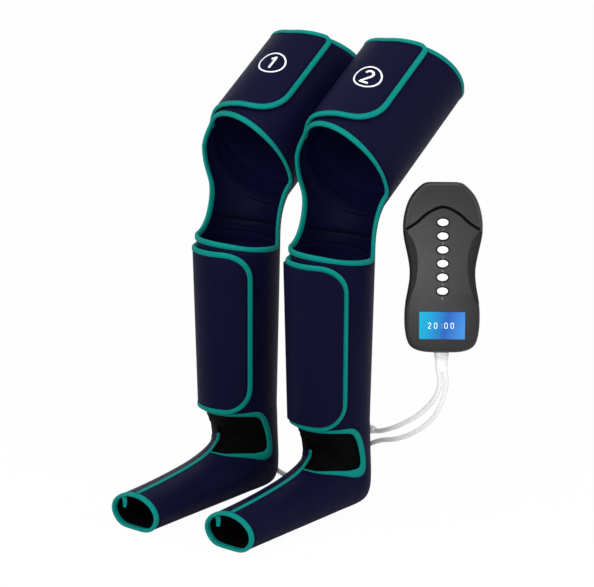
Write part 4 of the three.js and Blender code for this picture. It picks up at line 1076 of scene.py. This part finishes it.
def make_port(side, place, direction):
    """The elbow that a hose ends in, at the back of the heel, and the cuff over its nozzle."""
    seat = (0, 61.5, 106)
    dome = [(0.1, -1), (13, -1), (13, 1.2), (12.4, 2), (9.5, 2.6), (8, 4), (7.2, 7), (7, 14), (6.3, 17.5),
            (4, 19), (0.1, 19.2)]
    pipe = [(0.1, 0), (5.6, 0), (5.6, 10), (6.2, 11), (6.2, 13), (4.9, 14.5), (4.9, 16.5), (5.6, 17.5),
            (5.6, 21.4), (5, NOZZLE), (0.1, NOZZLE)]
    points, faces = joined(turned(dome, (0, 1, 0), seat), turned(pipe, direction, ELBOW))
    piece = make(side + "_hose_elbow", points, faces, valve, place=place)
    on_body(piece, "base", [side + "_hose_port"])
    cuff = [(5.7, 8), (6.5, 8.3), (6.7, 10), (6.6, 20), (6.0, 23.5), (4.4, 26.5), (3.95, 27), (3.95, 22.2),
            (5.7, 22.1), (5.7, 8)]
    points, faces = turned(cuff, direction, ELBOW)
    piece = make(side + "_hose_cuff", points, faces[:-2], hose_vinyl, place=place)
    on_body(piece, "base", [])


DIGITS = {
    "0": [[(0, 0.3), (0, 1.7), (0.3, 2), (0.7, 2), (1, 1.7), (1, 0.3), (0.7, 0), (0.3, 0), (0, 0.3)]],
    "1": [[(0.15, 1.55), (0.6, 2), (0.6, 0)]],
    "2": [[(0, 1.6), (0.2, 1.9), (0.5, 2), (0.8, 1.9), (1, 1.55), (0.9, 1.15), (0, 0), (1, 0)]],
    "3": [[(0, 1.7), (0.35, 2), (0.7, 2), (1, 1.65), (0.9, 1.2), (0.5, 1.05), (0.9, 0.9), (1, 0.4),
           (0.7, 0), (0.3, 0), (0, 0.3)]],
    "4": [[(0.75, 0), (0.75, 2), (0, 0.65), (1, 0.65)]],
    "5": [[(0.95, 2), (0.1, 2), (0, 1.1), (0.5, 1.25), (0.9, 1.05), (1, 0.5), (0.7, 0), (0.3, 0), (0, 0.25)]],
    "6": [[(0.85, 1.9), (0.3, 1.6), (0, 0.9), (0, 0.4), (0.3, 0), (0.7, 0), (1, 0.4), (0.9, 0.9),
           (0.5, 1.1), (0.05, 0.75)]],
    ":": [[(0.5, 1.3), (0.5, 1.5)], [(0.5, 0.5), (0.5, 0.7)]],
}


def ribbon(line, width, closed=False):
    """A flat strip along a line of [x, y] points, as a grid of four columns."""
    line = np.array(line, float)
    fine_line = [line[0]]
    for a, b in zip(line[:-1], line[1:]):
        count = max(1, int(np.linalg.norm(b - a) / 0.8))
        fine_line += [a + (b - a) * (k + 1) / count for k in range(count)]
    line = np.array(fine_line)
    step = np.gradient(line, axis=0)
    if closed:
        step[0] = step[-1] = line[1] - line[-2]
    normal = np.stack([-step[:, 1], step[:, 0]], 1) / np.linalg.norm(step, axis=1, keepdims=True)
    return np.stack([line + normal * width * k for k in (-0.5, -0.17, 0.17, 0.5)], 1)


def grid_body(points):
    return points.reshape(-1, 3), grid_faces(*points.shape[:2])


def make_mark(side, place, number, angle, along):
    """A printed ring with a plain numeral, on the thigh flap."""
    station = float(on_thigh(along))
    across, up = (float(v[0]) for v in scale_at(np.array([[angle, station]])))
    turn = np.linspace(0, 2 * math.pi, 97)
    strips = [ribbon(MARK_RADIUS * np.stack([np.sin(turn), np.cos(turn)], 1), 2.5, closed=True)]
    for stroke in DIGITS[number]:
        strips.append(ribbon([((x - 0.5) * 12.5, (y - 1) * 11.5) for x, y in stroke], 3.6))
    parts = []
    for strip in strips:
        angles, stations = angle + strip[..., 0] / across, station + strip[..., 1] / up
        parts.append(grid_body(surface(angles, stations, -lift(angles) - MARK_PROUD)))
    points, faces = joined(*parts)
    piece = thicken(make(f"{side}_mark_{number}", points, faces, print_white, place=place), 0.2)
    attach(piece, side + "_thigh_opening")


MARKS = {"right": ("1", 6.7, 149.2), "left": ("2", 10.8, 139.9)}
for side, place in PLACES.items():
    make_foot(side, place)
    make_calf(side, place)
    make_thigh(side, place)
    make_knee(side, place)
    make_port(side, place, (0, 0, -1) if side == "right" else (1, 0, 0))
    make_mark(side, place, *MARKS[side])


# The controller, in its own frame: the front face is towards -y

def case_outline():
    side = catmull([
        (0, 0), (0.55 * BASE[0], 0.02 * BASE[1]), (0.86 * BASE[0], 0.14 * BASE[1]),
        (0.97 * BASE[0], 0.42 * BASE[1]), BASE, WAIST, SHOULDER,
        (mix(SHOULDER[0], TOP_HALF, 0.35), mix(SHOULDER[1], HEIGHT, 0.66)), (TOP_HALF, HEIGHT),
    ], centripetal=True)(np.linspace(0, 1, 400))
    whole = np.concatenate([side, side[:0:-1] * (-1, 1)])
    whole = np.concatenate([whole, whole[:1]])
    reach = np.concatenate([[0], np.cumsum(np.linalg.norm(np.diff(whole, axis=0), axis=1))])
    even = np.linspace(0, reach[-1], 289)[:-1]
    ring = np.stack([np.interp(even, reach, whole[:, k]) for k in (0, 1)], 1)
    return rounded(ring, 12)


outline = case_outline()


def inset(distance):
    """The case's outline, drawn in by a distance (or out, if it is negative)."""
    ring = outline.copy()
    steps = max(1, math.ceil(abs(distance) / 0.5))
    for _ in range(steps):
        ahead = np.roll(ring, -1, 0) - np.roll(ring, 1, 0)
        inwards = np.stack([-ahead[:, 1], ahead[:, 0]], 1) / np.linalg.norm(ahead, axis=1, keepdims=True)
        ring = ring + inwards * distance / steps
        if distance > 0:
            ring = rounded(ring, 1)
    return ring


def at_depth(ring, y):
    return np.stack([ring[:, 0], np.full(len(ring), float(y)), ring[:, 1]], 1)


def at_height(ring, z):
    return np.stack([ring[:, 0], ring[:, 1], np.full(len(ring), float(z))], 1)


def case_shell(way, depth, grow=0.0):
    """One half of the case, open at the seam. way is -1 for the front and 1 for the back."""
    rows = []
    for thick, order in ((-grow, 1), (CASE_WALL, -1)):
        edge = EDGE - max(thick, 0)
        face = [at_depth(inset(thick), way * 0.15), at_depth(inset(thick), way * (depth - thick - edge))]
        for a in np.linspace(0, 90, 9)[1:] * RAD:
            ring = inset(thick + edge * (1 - math.cos(a)))
            face.append(at_depth(ring, way * (depth - thick - edge + edge * math.sin(a))))
        rows.append(face[::-order])
    return stack(rows[0] + rows[1])


def carved(piece, cutters, operation="DIFFERENCE"):
    """Cuts closed bodies of points and faces out of a piece, or keeps what they share with it."""
    points, faces = joined(*cutters)
    tool = make("cutter", on_controller(points), faces, case)
    cut = piece.modifiers.new("cut", "BOOLEAN")
    cut.operation, cut.object, cut.solver = operation, tool, "EXACT"
    baked(piece)
    bpy.data.objects.remove(tool)
    shade(piece.data, 32)
    return piece


def oval(half, high, z, y):
    turn = circle(56)
    return at_depth(np.stack([half * np.cos(turn), z + high * np.sin(turn)], 1), y)


def box_ring(width, height, corner, z=0.0):
    """A rectangle with rounded corners, whose middle is at the height z."""
    ring = []
    for k in range(4):
        for a in np.linspace(90 * k, 90 * (k + 1), 8) * RAD:
            x = width / 2 - corner if k in (0, 3) else corner - width / 2
            up = height / 2 - corner if k in (0, 1) else corner - height / 2
            ring.append((x + corner * math.cos(a), z + up + corner * math.sin(a)))
    return np.array(ring)


def hole(z):
    rows = [(8.35, 5.65, -10), (8.35, 5.65, -22.3), (10.1, 7.4, -22.3), (10.1, 7.4, -26)]
    return stack([oval(half, high, z, y) for half, high, y in rows])


def groove_ring(half):
    curve = catmull([(-54, 180), (-39, 189.5), (-22, 204), (0, 213), (22, 204), (39, 189.5), (54, 180)])
    line = curve(np.linspace(0, 1, 90))
    ahead = np.gradient(line, axis=0)
    normal = np.stack([-ahead[:, 1], ahead[:, 0]], 1) / np.linalg.norm(ahead, axis=1, keepdims=True)
    return np.concatenate([line - normal * half, (line + normal * half)[::-1]])


def groove():
    rows = ((1.0, -21.0), (1.7, -21.2), (1.9, -22.4), (2.3, -23.0), (2.3, -26))
    return stack([at_depth(groove_ring(half), y) for half, y in rows])


def crescent(side, margin):
    """The body that one grip takes out of the case, or with a margin its clearance."""
    low, high = GRIP_LOW - margin, GRIP_HIGH + margin
    arc = catmull([(54.5 - margin, high), (43 - margin, 162), (37 - margin, 135), (40 - margin, 100),
                   (51 - margin, low)])
    line = arc(np.linspace(0, 1, 48))
    ring = np.concatenate([line, [(80, low), (80, high)]]) * (side, 1)
    return stack([at_depth(ring, -30), at_depth(ring, -3 + margin)])


def gland_ring(grow):
    return box_ring(20.6 + 2 * grow, 11.6 + 2 * grow, 5.6 + grow)


def gland_slot():
    return stack([at_height(gland_ring(GAP), z) for z in (-12, 9)])


def fitting(name, body, material):
    """A small piece of the controller that has no node of its own."""
    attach(make(name, on_controller(body[0]), body[1], material), "base")


def case_piece(name, body, material, nodes, smooth_angle=32):
    piece = make(name, on_controller(body[0]), body[1], material, smooth_angle=smooth_angle)
    return on_body(piece, "base", nodes)


front = case_piece("front_shell", case_shell(-1, FRONT_DEPTH), case, ["front_case"])
pocket = box_ring(SCREEN_WIDTH + 2 * GAP, SCREEN_HEIGHT + 2 * GAP, 1.1, SCREEN_Z)
window = box_ring(62, 35, 2, SCREEN_Z)
screen_hole = stack([at_depth(ring, y)
                     for ring, y in ((window, -10), (window, -21.1), (pocket, -21.1), (pocket, -26))])
cuts = [screen_hole, groove(), gland_slot(), crescent(1, GAP), crescent(-1, GAP)]
carved(front, [hole(z) for z in BUTTONS] + cuts)

# A near-black strip at the bottom of the chevron groove: painted shade in the groove.
groove_shade_strip = stack([at_depth(groove_ring(half), y) for half, y in ((1.6, -21.1), (1.6, -21.9), (1.2, -22.1))])
fitting("groove_painted_shade", groove_shade_strip, shadow)

for name, side in (("grip_right", -1), ("grip_left", 1)):
    body = case_shell(-1, FRONT_DEPTH + 0.35, grow=0.35)
    piece = case_piece(name + "_cover", body, grip, [name])
    carved(piece, [crescent(side, 0)], "INTERSECT")

back = case_piece("back_shell", case_shell(1, BACK_DEPTH), case, ["back_case"])
vents = []
for z in VENTS:
    ring = box_ring(26, 2.2, 1.05, z)
    vents.append(stack([at_depth(ring, 15), at_depth(ring, 27)]))
screw_hole = [(0.1, 0), (3.4, 0), (3.4, 4), (0.1, 4)]
screw_head = [(0.1, 0), (2.9, 0), (2.9, 0.8), (2.2, 1.4), (0.1, 1.5)]
screw_holes = [turned(screw_hole, (0, 1, 0), (x, 22.6, z), 24) for x, z in SCREWS]
carved(back, vents + screw_holes + [gland_slot()])
for k, (x, z) in enumerate(SCREWS):
    fitting(f"case_screw_{k + 1}", turned(screw_head, (0, 1, 0), (x, 22.62, z), 24), metal)

cap = [(0.1, -11), (3, -11), (3, -5), (9.6, -5), (9.6, -3.5), (8, -3.5), (8, 0.2), (7.9, 0.7), (7.6, 1.05),
       (7.1, 1.27), (6.2, 1.42), (4.4, 1.54), (2.2, 1.59), (0.1, 1.6)]
# A ring in the gap round each button, coloured near-black: painted shade for the gap.
bezel_painted_shade = [(8.45, -0.66), (9.95, -0.66), (9.95, 0.0), (9.6, 0.12), (8.8, 0.12), (8.45, -0.1), (8.45, -0.66)]
for k, z in enumerate(BUTTONS):
    points, faces = stack([oval(r, r * 5.3 / 8 if r <= 8 else 6.4, z, -FRONT_DEPTH - out) for r, out in cap])
    piece = make(f"button_cap_{k + 1}", on_controller(points), faces, white, smooth_angle=35)
    on_body(piece, f"button_{k + 1}", [f"button_{k + 1}"])
    rows = [oval(r, r - 2.7, z, -FRONT_DEPTH - out) for r, out in bezel_painted_shade]
    fitting(f"bezel_{k + 1}", (np.concatenate(rows), grid_faces(len(rows), len(rows[0]), ring=True)), shadow)


def strokes(text, height, spacing, width, x, z, y):
    """Plain numerals as thin strips that face the front, from their lower left corner."""
    parts = []
    for character in text:
        for stroke in DIGITS[character]:
            strip = ribbon([(x + a * height * 0.5, z + b * height * 0.5) for a, b in stroke], width)
            face = np.full(strip.shape[:2], y - PRINT_PROUD)
            parts.append(grid_body(np.stack([strip[..., 0], face, strip[..., 1]], -1)))
        x += height * (0.5 + spacing) * (0.7 if character == ":" else 1)
    return joined(*parts)


for k, z in enumerate(BUTTONS):
    fitting(f"label_{k + 1}", strokes(str(6 - k), 3.6, 0.2, 0.55, -0.9, z - 12.4, -FRONT_DEPTH), print_grey)

outer = box_ring(SCREEN_WIDTH, SCREEN_HEIGHT, 0.8, SCREEN_Z)
face = box_ring(SCREEN_WIDTH - 0.6, SCREEN_HEIGHT - 0.6, 0.6, SCREEN_Z)
points, faces = stack([at_depth(outer, -21.4), at_depth(outer, -22.8), at_depth(face, -23)])
lens_uvs = [(points[i][0] + SCREEN_WIDTH / 2, points[i][2] - SCREEN_Z + SCREEN_HEIGHT / 2)
            for f in faces for i in f]
piece = make("screen_window", on_controller(points), faces, screen_print, lens_uvs, smooth_angle=30)
on_body(piece, "base", ["screen_lens"])

glyph = principled("display_digits", Base_Color=(0.85, 0.93, 1.0, 1), Roughness=0.3,
                   Emission_Color=(0.8, 0.92, 1.0, 1), Emission_Strength=0.35)
fitting("display_time", strokes("20:00", 8, 0.62, 0.7, -20.5, SCREEN_Z - 4, -FRONT_DEPTH), glyph)

INSIDES = {"lcd_module": valve, "circuit_board": board, "air_pump": metal, "valve_block": valve}
for name, material in INSIDES.items():
    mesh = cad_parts[name].data
    mesh.materials.clear()
    mesh.materials.append(material)


def gland():
    profile = [(7, 2.3), (4, 2.5), (4, 0), (-0.5, 0), (-0.9, 0.9), (-2.6, 0.9), (-3.0, 0), (-4.4, 0),
               (-4.8, 0.6), (-6.4, 0.6), (-6.8, -0.1), (-8, -0.3), (-8.4, 0.2), (-9.6, 0.1), (-10, -0.3)]
    return stack([at_height(gland_ring(grow), z) for z, grow in profile])


case_piece("hose_boot", gland(), hose_vinyl, ["hose_gland"], smooth_angle=50)
lines = [hose_route(*ROUTES[name]) for name in ROUTES]
centres = sum(lines) / 2
rows = []
for k, share in enumerate(np.linspace(0, 1, 15)):
    spot = min(range(len(centres)), key=lambda i: abs(np.linalg.norm(centres[i] - centres[0]) - 20 * share))
    rib = 0.5 * (k % 2)
    ring = box_ring(mix(18.8, 17.2, share) + rib, mix(10.2, 8.4, share) + rib, mix(5.0, 4.1, share))
    rows.append(at_height(ring, 0) @ np.array(controller_turn).T + centres[spot])
points, faces = stack(rows)
piece = make("hose_boot_taper", points, faces, hose_vinyl, smooth_angle=60)
on_body(piece, "base", [])

# Floor, background and light

FLOOR_HALF = 6.0
FLOOR_DROP = 0.0002


def add_nodes(owner, *kinds):
    """Empties the node tree of a material or world and fills it with new nodes."""
    owner.use_nodes = True
    owner.node_tree.nodes.clear()
    return [owner.node_tree.nodes.new("ShaderNode" + kind) for kind in kinds]


def either(tree, first, second):
    """An output that is 1 where either of two others is."""
    node = tree.nodes.new("ShaderNodeMath")
    node.operation = "MAXIMUM"
    tree.links.new(first, node.inputs[0])
    tree.links.new(second, node.inputs[1])
    return node.outputs[0]


def mixed(tree, factor, mixer, first, second, output):
    tree.links.new(factor, mixer.inputs[0])
    tree.links.new(first.outputs[0], mixer.inputs[1])
    tree.links.new(second.outputs[0], mixer.inputs[2])
    tree.links.new(mixer.outputs[0], output.inputs[0])


floor_mesh = bpy.data.meshes.new("floor")
corners = [(x * FLOOR_HALF, y * FLOOR_HALF, -FLOOR_DROP) for x, y in ((-1, -1), (1, -1), (1, 1), (-1, 1))]
floor_mesh.from_pydata(corners, [], [(0, 1, 2, 3)])
floor = bpy.data.objects.new("floor", floor_mesh)
bpy.context.scene.collection.objects.link(floor)

floor_look = bpy.data.materials.new("floor_look")
output, diffuse, glow, mixer, path, share = add_nodes(
    floor_look, "OutputMaterial", "BsdfDiffuse", "Emission", "MixShader", "LightPath", "Math")
diffuse.inputs["Color"].default_value = (0.86, 0.86, 0.86, 1)
glow.inputs["Color"].default_value = (1, 1, 1, 1)
glow.inputs["Strength"].default_value = 1.0
share.operation = "MULTIPLY"
share.inputs[1].default_value = 0.97
tree, rays = floor_look.node_tree, path.outputs
tree.links.new(either(tree, rays["Is Camera Ray"], rays["Is Transmission Ray"]), share.inputs[0])
mixed(tree, share.outputs[0], mixer, diffuse, glow, output)
floor_mesh.materials.append(floor_look)

world = bpy.data.worlds.new("studio")
bpy.context.scene.world = world
output, lit, shown, mixer, path = add_nodes(
    world, "OutputWorld", "Background", "Background", "MixShader", "LightPath")
for background, strength in ((lit, 0.5), (shown, 1.0)):
    background.inputs["Color"].default_value = (1, 1, 1, 1)
    background.inputs["Strength"].default_value = strength
tree, rays = world.node_tree, path.outputs
seen = either(tree, rays["Is Camera Ray"], rays["Is Transmission Ray"])
mixed(tree, either(tree, seen, rays["Is Glossy Ray"]), mixer, lit, shown, output)


def lamp(name, across, up, reach, width, height, power):
    """A soft rectangular lamp, placed by its angle from the camera and its distance in metres."""
    way = towards(azimuth + across * RAD, up * RAD)
    light = bpy.data.lights.new(name, "AREA")
    light.shape, light.size, light.size_y, light.energy = "RECTANGLE", width, height, power
    obj = bpy.data.objects.new(name, light)
    target = Vector((middle[0] / 1000, middle[1] / 1000, 0.35))
    obj.location = target + way * reach
    obj.rotation_euler = way.to_track_quat("Z", "Y").to_euler()
    bpy.context.scene.collection.objects.link(obj)


lamp("key_light", -38, 34, 2.4, 1.0, 1.6, 22)
lamp("front_light", -3, 12, 4.3, 0.45, 1.2, 34)
lamp("strip_light", 62, 26, 2.4, 0.16, 1.4, 12)
lamp("top_light", 10, 78, 2.2, 1.6, 1.6, 22)

bpy.context.scene.view_settings.view_transform = "Standard"
